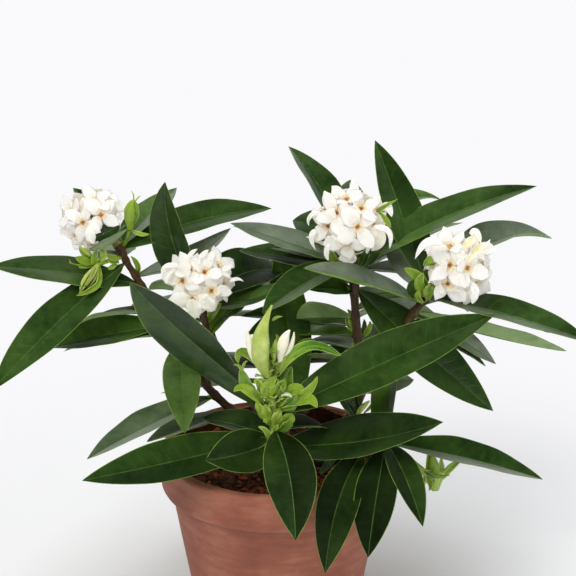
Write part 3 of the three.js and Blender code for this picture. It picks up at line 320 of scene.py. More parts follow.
    ("petals", "petal", 4.4, (0, -1, 0.35), 8, 0.3, 0.4, [[-55.8, -16.0, 211.3], [-59.1, -16.0, 208.5], [-59.7, -16.0, 203.3]]),
    ("petals", "petal", 2.2, (0, -1, 0.35), 8, 0.4, 0.3, [[-25.2, -14.0, 203.8], [-21.4, -14.0, 205.5], [-17.9, -14.0, 204.0]]),
    ("petals", "petal", 2.8, (0, -1, 0.35), 8, 0.3, 0.35, [[-47.8, -12.0, 216.2], [-45.6, -12.0, 219.7], [-42.6, -12.0, 221.9]]),
    ("petals", "petal", 2.8, (0, -1, 0.35), 8, 0.3, 0.35, [[-41.9, -12.0, 216.2], [-39.1, -12.0, 219.4], [-36.6, -12.0, 221.4]]),
    ("petals", "petal", 3.6, (0, -1, 0.35), 8, 0.3, 0.35, [[-36.5, -12.0, 215.7], [-34.5, -12.0, 218.5], [-33.4, -12.0, 221.4]]),
    ("petals", "petal", 3.4, (0, -1, 0.35), 8, 0.3, 0.35, [[-29.5, -12.0, 209.9], [-26.3, -12.0, 211.1], [-23.5, -12.0, 212.8]]),
    ("petals", "petal", 9.0, (0, -1, 0.35), 6, 0.1, 0.5, [[-46.3, -27.0, 198.2], [-44.6, -25.0, 192.3], [-44.0, -23.0, 185.8]]),
    ("petals", "petal", 7.4, (0, -1, 0.35), 6, 0.1, 0.6, [[-38.3, -26.0, 199.5], [-36.3, -24.0, 194.8], [-34.8, -22.0, 189.4]]),
    ("petals", "petal", 3.0, (0, -1, 0.35), 8, 0.4, 0.35, [[-90.6, 6.0, 246.2], [-87.9, 6.0, 245.1], [-86.3, 6.0, 241.7]]),
    ("petals", "petal", 6.0, (0, -1, 0.35), 6, 0.2, 0.5, [[-102.7, 2.0, 229.3], [-101.8, 2.0, 224.7], [-99.9, 3.0, 219.7]]),
]
# Closed buds: group, kind, curve, radii along it, flatness.
SPINDLES = [
    ("front", "bud", [[-4.4, -52.0, 163.4], [-8.5, -56.0, 183.3], [-2.1, -54.0, 205.4]], [1.6, 2.6, 4.1, 5.2, 5.6, 5.2, 4.1, 2.7, 1.5, 0.4], 0.85),
    ("front", "cream", [[-6.5, -51.0, 167.0], [-12.2, -54.0, 179.1], [-15.5, -53.0, 191.7]], [1.2, 2.2, 2.9, 3.0, 2.5, 1.5, 0.3], 0.9),
    ("front", "pale", [[-1.7, -51.0, 171.0], [-1.4, -54.0, 179.1], [-0.1, -53.0, 186.0]], [0.5, 1.2, 1.5, 1.4, 1.0, 0.3], 0.9),
    ("front", "cream", [[2.0, -50.0, 171.8], [3.6, -53.0, 183.8], [7.2, -52.0, 190.7]], [1.0, 1.8, 2.6, 2.9, 2.4, 1.5, 0.4], 0.8),
    ("front", "cream", [[3.6, -49.0, 172.5], [7.8, -50.0, 180.9], [9.4, -50.0, 188.8]], [0.8, 1.3, 1.7, 1.8, 1.5, 1.0, 0.3], 0.8),
    ("front_right", "lime", [[86.5, -38.0, 90.8], [86.0, -40.0, 103.9], [84.0, -40.0, 116.5]], [1.4, 2.6, 3.3, 3.4, 2.6, 1.4, 0.4], 0.85),
    ("front_right", "pale", [[88.2, -37.0, 90.3], [89.5, -38.0, 100.5], [90.4, -38.0, 109.0]], [1.2, 2.0, 2.6, 2.4, 1.6, 0.5], 0.85),
    ("right", "lime", [[83.0, -24.0, 217.6], [81.7, -26.0, 219.9], [79.1, -27.0, 218.0]], [1.5, 2.4, 2.6, 2.2, 1.4], 0.8),
    ("left", "bud", [[-101.5, 5.0, 211.5], [-104.6, 4.0, 214.8], [-107.8, 4.0, 217.6]], [0.8, 1.6, 2.1, 2.0, 1.4, 0.4], 0.85),
    ("left", "lime", [[-85.9, 14.0, 208.4], [-93.0, 7.0, 208.5], [-98.8, 4.0, 207.2]], [1.5, 1.3, 1.3, 1.4, 1.5], 0.9),
    ("left", "bud", [[-98.1, 3.0, 208.1], [-101.9, -5.0, 203.4], [-106.9, -14.0, 197.4]], [1.0, 1.8, 2.4, 2.5, 2.0, 1.2, 0.3], 0.85),
    ("left", "lime", [[-86.5, 16.0, 212.4], [-82.8, 14.0, 219.5], [-80.6, 13.0, 226.8]], [1.4, 1.2, 1.2, 1.4], 0.9),
    ("left", "lime", [[-80.8, 12.0, 224.8], [-80.1, 10.0, 234.7], [-78.2, 10.0, 242.7]], [1.1, 1.9, 2.5, 2.5, 1.8, 1.0, 0.4], 0.85),
    ("stem", "bud", [[45.0, -3.0, 120.3], [47.7, -4.0, 125.0], [51.9, -4.0, 129.3]], [1.0, 1.8, 2.1, 1.7, 0.6], 0.85),
]

rad = math.radians
def heading(b, e):
    b, e = np.radians(b), np.radians(e)
    return np.stack([np.cos(e) * np.cos(b), np.cos(e) * np.sin(b), np.sin(e)], -1)

def line_of(bough):
    pts = [np.array(bough["start"], float)]
    for b, e, l in bough["run"]:
        pts.append(pts[-1] + l * heading(b, e))
    pts = np.array(pts)
    along = np.concatenate([[0], np.cumsum(np.linalg.norm(np.diff(pts, axis=0), axis=1))])
    return pts, along

LINES = {k: line_of(v) for k, v in BOUGHS.items()}

def point_at(line, s):
    pts, along = line
    s = min(max(s, 0.0), along[-1])
    i = min(int(np.searchsorted(along, s, side="right")) - 1, len(pts) - 2)
    t = (s - along[i]) / (along[i + 1] - along[i])
    return pts[i] + (pts[i + 1] - pts[i]) * t

def way_at(line, s, reach=4.0):
    d = point_at(line, s + reach) - point_at(line, s - reach)
    return d / (np.linalg.norm(d) + 1e-9)

class Build:
    """Collects vertices, faces, material numbers and a pair of surface coordinates for one mesh."""
    def __init__(self):
        self.v, self.f, self.m, self.uv, self.n = [], [], [], [], 0
    def add(self, verts, faces, mats, uvs=None):
        verts = np.asarray(verts, float)
        base = self.n
        self.v.append(verts)
        self.n += len(verts)
        for f in faces:
            self.f.append(tuple(int(i) + base for i in f))
        self.m.extend([mats] * len(faces) if np.isscalar(mats) else list(mats))
        self.uv.append(np.zeros((len(verts), 2)) if uvs is None else np.asarray(uvs, float))
    def grid(self, P, mats, uv=None, closed=False, flip=False):
        """P is rows by columns by 3; mats gives a material for each strip of faces between columns."""
        r, c = P.shape[:2]
        faces, fm = [], []
        cols = c if closed else c - 1
        for i in range(r - 1):
            for j in range(cols):
                a, b = i * c + j, i * c + (j + 1) % c
                q = (a, b, b + c, a + c)
                faces.append(q[::-1] if flip else q)
                if callable(mats): fm.append(mats(i, j))
                elif np.isscalar(mats): fm.append(mats)
                else: fm.append(mats[j])
        self.add(P.reshape(-1, 3), faces, fm, None if uv is None else uv.reshape(-1, 2))
    def make(self, name, materials, nodes=(), slot=None, smooth=True):
        verts = np.vstack(self.v) * MM
        me = bpy.data.meshes.new(name)
        me.from_pydata(verts.tolist(), [], self.f)
        me.polygons.foreach_set("material_index", np.array(self.m, np.int32))
        me.polygons.foreach_set("use_smooth", np.full(len(self.f), smooth))
        uvs = np.vstack(self.uv)
        layer = me.uv_layers.new(name="surface")
        loops = np.empty(len(me.loops), np.int32)
        me.loops.foreach_get("vertex_index", loops)
        layer.data.foreach_set("uv", uvs[loops].reshape(-1))
        me.validate(clean_customdata=False)
        me.update()
        for m in materials:
            me.materials.append(m)
        ob = bpy.data.objects.new(name, me)
        bpy.context.scene.collection.objects.link(ob)
        return finish(ob, nodes)

def finish(ob, nodes=()):
    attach(ob, "root")
    if nodes:
        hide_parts(*nodes)
    return ob

ALL = sorted(frame["nodes"])
def nodes_like(*starts):
    return [n for n in ALL if n.startswith(starts)]

# ---------------------------------------------------------------- materials
def tree(name):
    m = bpy.data.materials.new(name)
    m.use_nodes = True
    nt = m.node_tree
    nt.nodes.clear()
    out = nt.nodes.new("ShaderNodeOutputMaterial")
    bsdf = nt.nodes.new("ShaderNodeBsdfPrincipled")
    nt.links.new(bsdf.outputs[0], out.inputs[0])
    return m, nt, bsdf
def node(nt, kind, **settings):
    n = nt.nodes.new(kind)
    for k, v in settings.items():
        if k in n.inputs: n.inputs[k].default_value = v
        else: setattr(n, k, v)
    return n
def math_node(nt, op, a, b=None, c=None):
    n = nt.nodes.new("ShaderNodeMath"); n.operation = op
    for i, x in enumerate((a, b, c)):
        if x is None: continue
        if isinstance(x, (int, float)): n.inputs[i].default_value = x
        else: nt.links.new(x, n.inputs[i])
    return n.outputs[0]
def coords(nt):
    return nt.nodes.new("ShaderNodeTexCoord").outputs["Object"]
def noise_of(nt, scale, detail=3.0, rough=0.55, vec=None, stretch=None):
    n = nt.nodes.new("ShaderNodeTexNoise")
    n.inputs["Scale"].default_value = scale
    n.inputs["Detail"].default_value = detail
    n.inputs["Roughness"].default_value = rough
    v = vec if vec is not None else coords(nt)
    if stretch:
        mp = nt.nodes.new("ShaderNodeMapping")
        mp.inputs["Scale"].default_value = stretch
        nt.links.new(v, mp.inputs["Vector"]); v = mp.outputs[0]
    nt.links.new(v, n.inputs["Vector"])
    return n.outputs["Fac"]
def ramp(nt, fac, stops):
    r = nt.nodes.new("ShaderNodeValToRGB")
    el = r.color_ramp.elements
    while len(el) < len(stops): el.new(0.5)
    for e, (p, c) in zip(el, stops):
        e.position = p
        e.color = (*c, 1.0)
    nt.links.new(fac, r.inputs[0])
    return r.outputs[0]
def bump(nt, bsdf, height, strength, distance):
    b = nt.nodes.new("ShaderNodeBump")
    b.inputs["Strength"].default_value = strength
    b.inputs["Distance"].default_value = distance
    nt.links.new(height, b.inputs["Height"])
    nt.links.new(b.outputs[0], bsdf.inputs["Normal"])
def remap(nt, fac, lo, hi):
    n = nt.nodes.new("ShaderNodeMapRange")
    n.inputs["To Min"].default_value = lo
    n.inputs["To Max"].default_value = hi
    nt.links.new(fac, n.inputs["Value"])
    return n.outputs[0]
def srgb(r, g, b):
    f = lambda c: c / 12.92 if c <= 0.04045 else ((c + 0.055) / 1.055) ** 2.4
    return (f(r / 255), f(g / 255), f(b / 255))
def shade(c, k):
    return tuple(min(1.0, x * k) for x in c)

def leaf_material(name, dark, light, rough=(0.26, 0.36), coat=0.0, vein=0.35, spec=0.5, blue=0.0):
    m, nt, b = tree(name)
    uv = nt.nodes.new("ShaderNodeTexCoord").outputs["UV"]
    sep = nt.nodes.new("ShaderNodeSeparateXYZ")
    nt.links.new(uv, sep.inputs[0])
    across = math_node(nt, "ABSOLUTE", sep.outputs[0])
    # side veins: they leave the midrib forwards and curve towards the tip
    bend = math_node(nt, "MULTIPLY", math_node(nt, "POWER", across, 1.3), 0.34)
    wobble = math_node(nt, "MULTIPLY", noise_of(nt, 160.0, 2.0), 0.12)
    phase = math_node(nt, "ADD", math_node(nt, "SUBTRACT", sep.outputs[1], bend), wobble)
    wave = math_node(nt, "PINGPONG", math_node(nt, "MULTIPLY", phase, 7.0), 1.0)
    line = math_node(nt, "POWER", wave, 9.0)
    fade = math_node(nt, "SUBTRACT", 1.0, math_node(nt, "POWER", across, 2.0))
    veins = math_node(nt, "MULTIPLY", line, fade)
    broad = noise_of(nt, 38.0, 3.0)
    mid = noise_of(nt, 240.0, 3.0)
    fine = noise_of(nt, 1400.0, 3.0)
    mix = math_node(nt, "ADD", math_node(nt, "ADD", math_node(nt, "MULTIPLY", broad, 0.55), math_node(nt, "MULTIPLY", mid, 0.25)), math_node(nt, "MULTIPLY", veins, 0.2 * vein))
    col = ramp(nt, mix, [(0.28, dark), (0.56, light)])
    nt.links.new(col, b.inputs["Base Color"])
    nt.links.new(remap(nt, mid, *rough), b.inputs["Roughness"])
    if coat:
        b.inputs["Coat Weight"].default_value = coat
        b.inputs["Coat Roughness"].default_value = 0.2
    b.inputs["Specular IOR Level"].default_value = spec
    h = math_node(nt, "ADD", math_node(nt, "MULTIPLY", veins, -vein),
                  math_node(nt, "ADD", math_node(nt, "MULTIPLY", mid, 0.7), math_node(nt, "MULTIPLY", fine, 0.10)))
    bump(nt, b, h, 0.55, 0.0004)
    return m

def soft_material(name, dark, light, rough=0.5, scale=120.0, bumpy=0.3, depth=0.0002, sub=0.0, subcol=None, coat=0.0, spec=0.5, through=0.0):
    m, nt, b = tree(name)
    n = noise_of(nt, scale, 4.0)
    nt.links.new(ramp(nt, n, [(0.3, dark), (0.7, light)]), b.inputs["Base Color"])
    f = noise_of(nt, scale * 6, 3.0)
    nt.links.new(remap(nt, f, rough - 0.06, rough + 0.08), b.inputs["Roughness"])
    b.inputs["Specular IOR Level"].default_value = spec
    if coat: b.inputs["Coat Weight"].default_value = coat
    if sub:
        b.inputs["Subsurface Weight"].default_value = sub
        b.inputs["Subsurface Radius"].default_value = subcol or (0.6, 0.5, 0.35)
        b.inputs["Subsurface Scale"].default_value = 0.002
    if through:                                           # painted glow: a small emission that stands in for light coming through thin petals
        b.inputs["Emission Color"].default_value = (1.0, 0.925, 0.79, 1)
        b.inputs["Emission Strength"].default_value = through
    bump(nt, b, math_node(nt, "ADD", n, math_node(nt, "MULTIPLY", f, 0.5)), bumpy, depth)
    return m

M = {}
def materials():
    M["leaf_a"] = leaf_material("leaf_dark", srgb(16, 34, 9), srgb(46, 70, 25), spec=0.4)
    M["leaf_b"] = leaf_material("leaf_mid", srgb(25, 47, 14), srgb(60, 88, 33), spec=0.4)
    M["leaf_c"] = leaf_material("leaf_warm", srgb(34, 60, 13), srgb(74, 105, 36), spec=0.4)
    # leaf_d is painted shade: a darker copy of the leaf green for leaves and halves that lie in shade
    M["leaf_d"] = leaf_material("leaf_painted_shade", srgb(12, 22, 6), srgb(32, 48, 19), rough=(0.42, 0.55), spec=0.2)
    M["leaf_e"] = leaf_material("leaf_light", srgb(48, 74, 28), srgb(90, 118, 56), spec=0.4)
    M["leaf_f"] = leaf_material("leaf_bright", srgb(62, 96, 26), srgb(108, 142, 56), spec=0.4)
    # leaf_g, leaf_h and leaf_i are painted sheen: grey-green colours that paint the reflection of the bright backdrop
    # into the leaf
    M["leaf_g"] = leaf_material("leaf_painted_sheen_low", srgb(52, 68, 42), srgb(94, 112, 78), rough=(0.34, 0.46))
    M["leaf_h"] = leaf_material("leaf_painted_sheen", srgb(80, 94, 74), srgb(120, 132, 112), rough=(0.36, 0.48))
    M["leaf_j"] = leaf_material("leaf_olive", srgb(92, 118, 30), srgb(138, 162, 62), rough=(0.4, 0.5))
    M["leaf_i"] = leaf_material("leaf_painted_sheen_high", srgb(108, 118, 102), srgb(146, 154, 138), rough=(0.38, 0.5))
    # the underside is paler green, partly its own colour and partly painted light that lifts undersides lying in shade
    M["under"] = soft_material("leaf_underside", srgb(118, 149, 86), srgb(154, 181, 115), rough=0.6, scale=80)
    M["margin"] = soft_material("leaf_margin", srgb(96, 126, 44), srgb(142, 166, 78), rough=0.42, scale=300)
    M["midrib"] = soft_material("leaf_midrib", srgb(52, 82, 30), srgb(86, 114, 50), rough=0.4, scale=240, bumpy=0.2)
    M["fresh"] = leaf_material("fresh_leaf", srgb(46, 90, 20), srgb(92, 138, 44), rough=(0.24, 0.34), coat=0.2, vein=0.3)
    M["bud_skin"] = soft_material("bud_skin", srgb(142, 166, 60), srgb(200, 216, 118), rough=0.22, scale=90, bumpy=0.4, depth=0.0003, sub=0.15, coat=0.4)
    M["young_mid"] = leaf_material("young_mid", srgb(64, 106, 18), srgb(118, 156, 44), rough=(0.24, 0.34), coat=0.2, vein=0.2)
    M["petiole"] = soft_material("leaf_stalk", srgb(120, 128, 70), srgb(156, 158, 92), rough=0.5, scale=200)
    M["young"] = leaf_material("young_leaf", srgb(94, 130, 20), srgb(158, 186, 56), rough=(0.24, 0.34), coat=0.25, vein=0.2)
    M["young_pale"] = soft_material("young_sheath", srgb(122, 156, 44), srgb(172, 194, 86), rough=0.3, scale=160, sub=0.1, coat=0.3)
    M["young_under"] = soft_material("young_underside", srgb(112, 146, 40), srgb(158, 182, 74), rough=0.42, scale=120)
    M["young_rim"] = soft_material("young_rim", srgb(164, 190, 78), srgb(204, 218, 126), rough=0.4, scale=200)
    # the petal and bud materials below take a small emission (through), a painted glow standing in for light that
    # passes through them
    M["petal"] = soft_material("petal", srgb(244, 241, 233), srgb(251, 249, 244), rough=0.42, scale=160, bumpy=0.35, depth=0.0003, sub=0.5, subcol=(1.0, 0.85, 0.62), spec=0.35, through=0.135)
    M["petal_warm"] = soft_material("petal_base", srgb(239, 232, 214), srgb(248, 243, 230), rough=0.45, scale=260, sub=0.5, subcol=(1.0, 0.82, 0.55), spec=0.3, through=0.115)
    M["petal_back"] = soft_material("petal_back", srgb(244, 238, 226), srgb(251, 247, 239), rough=0.5, scale=200, sub=0.5, subcol=(1.0, 0.82, 0.58), spec=0.3, through=0.125)
    M["throat"] = soft_material("throat", srgb(220, 168, 96), srgb(240, 200, 138), rough=0.5, scale=500, sub=0.1)
    M["throat_deep"] = soft_material("throat_deep", srgb(216, 152, 76), srgb(238, 186, 112), rough=0.6, scale=500)
    M["anther"] = soft_material("anther", srgb(222, 146, 50), srgb(244, 184, 88), rough=0.7, scale=900)
    M["tube"] = soft_material("flower_tube", srgb(232, 214, 196), srgb(244, 234, 216), rough=0.5, scale=300, sub=0.2)
    M["tube_blush"] = soft_material("flower_tube_blush", srgb(214, 176, 168), srgb(232, 202, 192), rough=0.5, scale=300, sub=0.2)
    M["tip_olive"] = soft_material("bud_olive", srgb(120, 132, 52), srgb(158, 164, 84), rough=0.45, scale=260, bumpy=0.3)
    M["petal_tan"] = soft_material("petal_tan", srgb(226, 210, 178), srgb(240, 228, 202), rough=0.45, scale=260, sub=0.4, subcol=(1.0, 0.8, 0.5), spec=0.3, through=0.07)
    M["petal_gold"] = soft_material("petal_gold", srgb(228, 196, 138), srgb(242, 220, 174), rough=0.45, scale=260, sub=0.4, subcol=(1.0, 0.8, 0.5), spec=0.3, through=0.05)
    M["petal_yellow"] = soft_material("petal_yellow", srgb(238, 226, 170), srgb(248, 240, 206), rough=0.45, scale=260, sub=0.4, subcol=(1.0, 0.85, 0.5), spec=0.3, through=0.06)
    M["cream"] = soft_material("flower_bud", srgb(246, 238, 212), srgb(252, 248, 232), rough=0.4, scale=260, sub=0.2, coat=0.2, through=0.07)

# ---------------------------------------------------------------- small tools for shapes
def rng_for(*words):
    seed = 17
    for w in words:
        for ch in str(w):
            seed = (seed * 131 + ord(ch)) % 2147483647
    return np.random.default_rng(seed)

def unit(v):
    v = np.asarray(v, float)
    n = np.linalg.norm(v, axis=-1, keepdims=True)
    return v / np.where(n < 1e-9, 1, n)

def frames_along(P, first=None):
    """Tangent, side and up for each point of a path, carried along without twist."""
    T = unit(np.gradient(P, axis=0))
    side = np.zeros_like(T)
    s = first if first is not None else np.cross(T[0], [0, 0, 1.0])
    if np.linalg.norm(s) < 1e-3: s = np.array([1.0, 0, 0])
    for i in range(len(P)):
        s = s - T[i] * np.dot(s, T[i])
        s = s / np.linalg.norm(s)
        side[i] = s
    return T, side, np.cross(side, T)

def value_noise(p, scale, seed=0.0):
    """Smooth noise at each point, from -1 to 1."""
    q = np.asarray(p, float) * scale + seed
    flat = q.reshape(-1, 3)
    out = np.fromiter((noise.noise(Vector(x)) for x in flat), float, len(flat))
    return out.reshape(q.shape[:-1])

def smooth_path(pts, step=1.0, rounds=3):
    """The polyline with its corners cut, resampled evenly."""
    P = np.asarray(pts, float)
    for _ in range(rounds):
        Q = [P[0]]
        for a, b in zip(P[:-1], P[1:]):
            Q += [a * 0.75 + b * 0.25, a * 0.25 + b * 0.75]
        Q.append(P[-1])
        P = np.array(Q)
    d = np.concatenate([[0], np.cumsum(np.linalg.norm(np.diff(P, axis=0), axis=1))])
    n = max(4, int(round(d[-1] / step)))
    s = np.linspace(0, d[-1], n + 1)
    return np.stack([np.interp(s, d, P[:, k]) for k in range(3)], 1), s

def tube(build, P, radius, sides, mats, relief=None, caps=True, first=None):
    T, S, U = frames_along(P, first)
    a = np.linspace(0, 2 * math.pi, sides, endpoint=False)
    ring = np.cos(a)[None, :, None] * S[:, None, :] + np.sin(a)[None, :, None] * U[:, None, :]
    R = np.broadcast_to(np.asarray(radius, float)[:, None], (len(P), sides)).copy()
    base = P[:, None, :] + ring * R[..., None]
    if relief is not None:
        R = R + relief(base, a, R)
    V = P[:, None, :] + ring * R[..., None]
    uv = np.stack(np.broadcast_arrays(a[None, :] / (2 * math.pi), np.linspace(0, 1, len(P))[:, None]), -1)
    build.grid(V, mats, uv, closed=True, flip=True)
    if caps:
        n0 = build.n - len(P) * sides
        m = mats if np.isscalar(mats) else 0
        for row, turn in ((0, 1), (len(P) - 1, -1)):
            c = V[row].mean(0)
            base_i = n0 + row * sides
            build.v.append(c[None, :]); build.uv.append(np.zeros((1, 2)))
            ci = build.n; build.n += 1
            for j in range(sides):
                f = (ci, base_i + j, base_i + (j + 1) % sides)
                build.f.append(f if turn > 0 else f[::-1])
                build.m.append(m)
    return V

# ---------------------------------------------------------------- trunk and stems
RADII = {"A": [2.5, 1.6], "B": [2.2, 1.7], "C": [2.9, 2.0], "D": [2.2, 1.7], "E": [2.7, 2.2], "G": [2.3, 1.8], "J": [2.9, 1.9], "K": [2.2, 1.7], "H": [2.8, 1.9], "L": [2.3, 1.8]}
FRESH = {"E": 52.0, "G": 26.0}                       # length of this year's green wood
PARENT = {"B": "A", "C": None, "D": "C", "K": "J"}

def bark_materials():
    m, nt, b = tree("bark_old")
    fine = noise_of(nt, 900.0, 5.0, stretch=(1, 1, 0.35))
    patch = noise_of(nt, 160.0, 3.0)
    mix = math_node(nt, "ADD", math_node(nt, "MULTIPLY", fine, 0.6), math_node(nt, "MULTIPLY", patch, 0.4))
    nt.links.new(ramp(nt, mix, [(0.25, srgb(44, 28, 20)), (0.5, srgb(92, 62, 44)), (0.75, srgb(138, 104, 78))]), b.inputs["Base Color"])
    nt.links.new(remap(nt, fine, 0.55, 0.85), b.inputs["Roughness"])
    bump(nt, b, mix, 0.8, 0.0006)
    M["bark_old"] = m
    m, nt, b = tree("bark_young")
    fine = noise_of(nt, 1300.0, 4.0, stretch=(1, 1, 0.4))
    patch = noise_of(nt, 110.0, 4.0)
    mix = math_node(nt, "ADD", math_node(nt, "MULTIPLY", fine, 0.45), math_node(nt, "MULTIPLY", patch, 0.55))
    nt.links.new(ramp(nt, mix, [(0.28, srgb(32, 21, 11)), (0.48, srgb(64, 42, 22)), (0.62, srgb(92, 68, 35)), (0.76, srgb(126, 110, 58))]), b.inputs["Base Color"])
    nt.links.new(remap(nt, patch, 0.36, 0.6), b.inputs["Roughness"])
    bump(nt, b, mix, 0.6, 0.0004)
    M["bark_young"] = m
    M["shoot_green"] = soft_material("shoot_green", srgb(104, 138, 40), srgb(164, 184, 86), rough=0.32, scale=140, bumpy=0.5, depth=0.0003)
    M["bark_green"] = soft_material("bark_green", srgb(112, 104, 54), srgb(150, 142, 78), rough=0.42, scale=140, bumpy=0.5, depth=0.0003)

def bark_relief(marks, seed, rough):
    """Ridges along the limb, swollen whorls and leaf scars, in millimetres."""
    def relief(base, a, R):
        ridge = value_noise(base * np.array([1, 1, 0.35]), 0.75, seed) * 0.22 * rough
        fine = value_noise(base, 2.1, seed + 9) * 0.12 * rough
        out = ridge + fine
        for q, toward, size in marks:
            d = base - q
            near = np.exp(-(d ** 2).sum(-1) / (2 * size ** 2))
            out = out + 0.55 * near
        return out
    return relief

def stems():
    old, young = Build(), Build()
    # trunk: lofted through its stations, with spreading roots at the foot
    st = np.array([[91.35, 9.8, 0, 1.2], [94.5, 8, 0.1, 1], [100, 6.7, 0.4, 0.7], [106, 6, 0.7, 0.2], [110, 6.4, 0.9, 0], [113, 4.6, 1, 0]], float)
    z = np.linspace(st[0, 0] - 1.6, st[-1, 0], 70)
    r = np.interp(z, st[:, 0], st[:, 1]); x = np.interp(z, st[:, 0], st[:, 2]); y = np.interp(z, st[:, 0], st[:, 3])
    k = np.ones(9) / 9
    sm = lambda v: np.convolve(np.pad(v, 4, mode="edge"), k, mode="valid")
    r, x, y = sm(r), sm(x), sm(y)
    r[-12:] *= np.linspace(1, 0.55, 12) ** 0.7
    a = np.linspace(0, 2 * math.pi, 72, endpoint=False)
    up = np.clip((z - st[0, 0]) / (st[3, 0] - st[0, 0]), 0, 1)
    flare = 0.2 * (1 - up)[:, None] ** 1.5 * np.cos(3 * a + 0.6)[None, :]
    R = r[:, None] * (1 + flare)
    V = np.stack([x[:, None] + R * np.cos(a), y[:, None] + R * np.sin(a), np.repeat(z[:, None], 72, 1)], -1)
    n = value_noise(V * np.array([1, 1, 0.3]), 0.7, 3.0) * 0.5 + value_noise(V, 2.0, 8.0) * 0.22
    out = unit(np.stack([np.cos(a), np.sin(a), 0 * a], -1))[None]
    V = V + out * n[..., None]
    uv = np.stack(np.broadcast_arrays(a[None, :] / 6.283, up[:, None]), -1)
    old.grid(V, 0, uv, closed=True)
    for row, way in ((0, -1), (len(z) - 1, 1)):
        base_i = row * 72
        old.v.append(V[row].mean(0)[None, :]); old.uv.append(np.zeros((1, 2)))
        ci = old.n; old.n += 1
        for j in range(72):
            f = (ci, base_i + j, base_i + (j + 1) % 72)
            old.f.append(f if way > 0 else f[::-1]); old.m.append(0)
    # boughs and stems
    for key, bough in BOUGHS.items():
        line = LINES[key]
        pts = line[0]
        P, s = smooth_path(pts, 0.8)
        total = s[-1]
        r0, r1 = RADII[key]
        rr = r0 + (r1 - r0) * (s / total)
        rr = rr + 1.1 * np.exp(-s / 3.5) * (0.5 if PARENT.get(key) else 1.0)
        marks = []
        rnd = rng_for("scars", key)
        for row in bough["leaves"]:
            q = point_at(line, row[0])
            way = heading(row[1], row[2])
            tang = way_at(line, row[0])
            radial = unit(way - tang * np.dot(way, tang))
            marks.append((q + radial * np.interp(row[0], s, rr), radial, 1.7))
        # scars of fallen leaves on the bare lower stretch, in the same spiral
        first = min((row[0] for row in bough["leaves"]), default=total)
        turn = rnd.uniform(0, 360)
        for q_s in np.arange(7.0, max(first - 3, 7.0), 5.2):
            turn += 137.5
            tang = way_at(line, q_s)
            e1 = unit(np.cross(tang, [0.3, 0.2, 1.0])); e2 = np.cross(tang, e1)
            radial = math.cos(rad(turn)) * e1 + math.sin(rad(turn)) * e2
            marks.append((point_at(line, q_s) + radial * np.interp(q_s, s, rr), radial, 1.2))
        for row_s in sorted({round(row[0]) for row in bough["leaves"]}):
            rr = rr + 0.35 * np.exp(-((s - row_s) / 1.6) ** 2)
        soft = FRESH.get(key, 9.0)
        green = np.where(s > total - soft, 2 if key in FRESH else 1, 0)
        def mats(i, j, green=green): return int(green[min(i, len(green) - 1)])
        V = tube(young, P, rr, 22, mats, bark_relief(marks, 11.0 + ord(key), 1.0), caps=False)
        n0 = young.n - len(P) * 22
        for row, turn_ in ((0, 1), (len(P) - 1, -1)):
            young.v.append(V[row].mean(0)[None, :]); young.uv.append(np.zeros((1, 2)))
            ci = young.n; young.n += 1
            for j in range(22):
                f = (ci, n0 + row * 22 + j, n0 + row * 22 + (j + 1) % 22)
                young.f.append(f if turn_ > 0 else f[::-1]); young.m.append(int(green[-1]) if row else 0)
    old.make("trunk_bark", [M["bark_old"]], ["trunk"], "bark_old")
    young.make("stems_bark", [M["bark_young"], M["bark_green"], M["shoot_green"]], nodes_like("bough_", "stem_"), "bark_young")

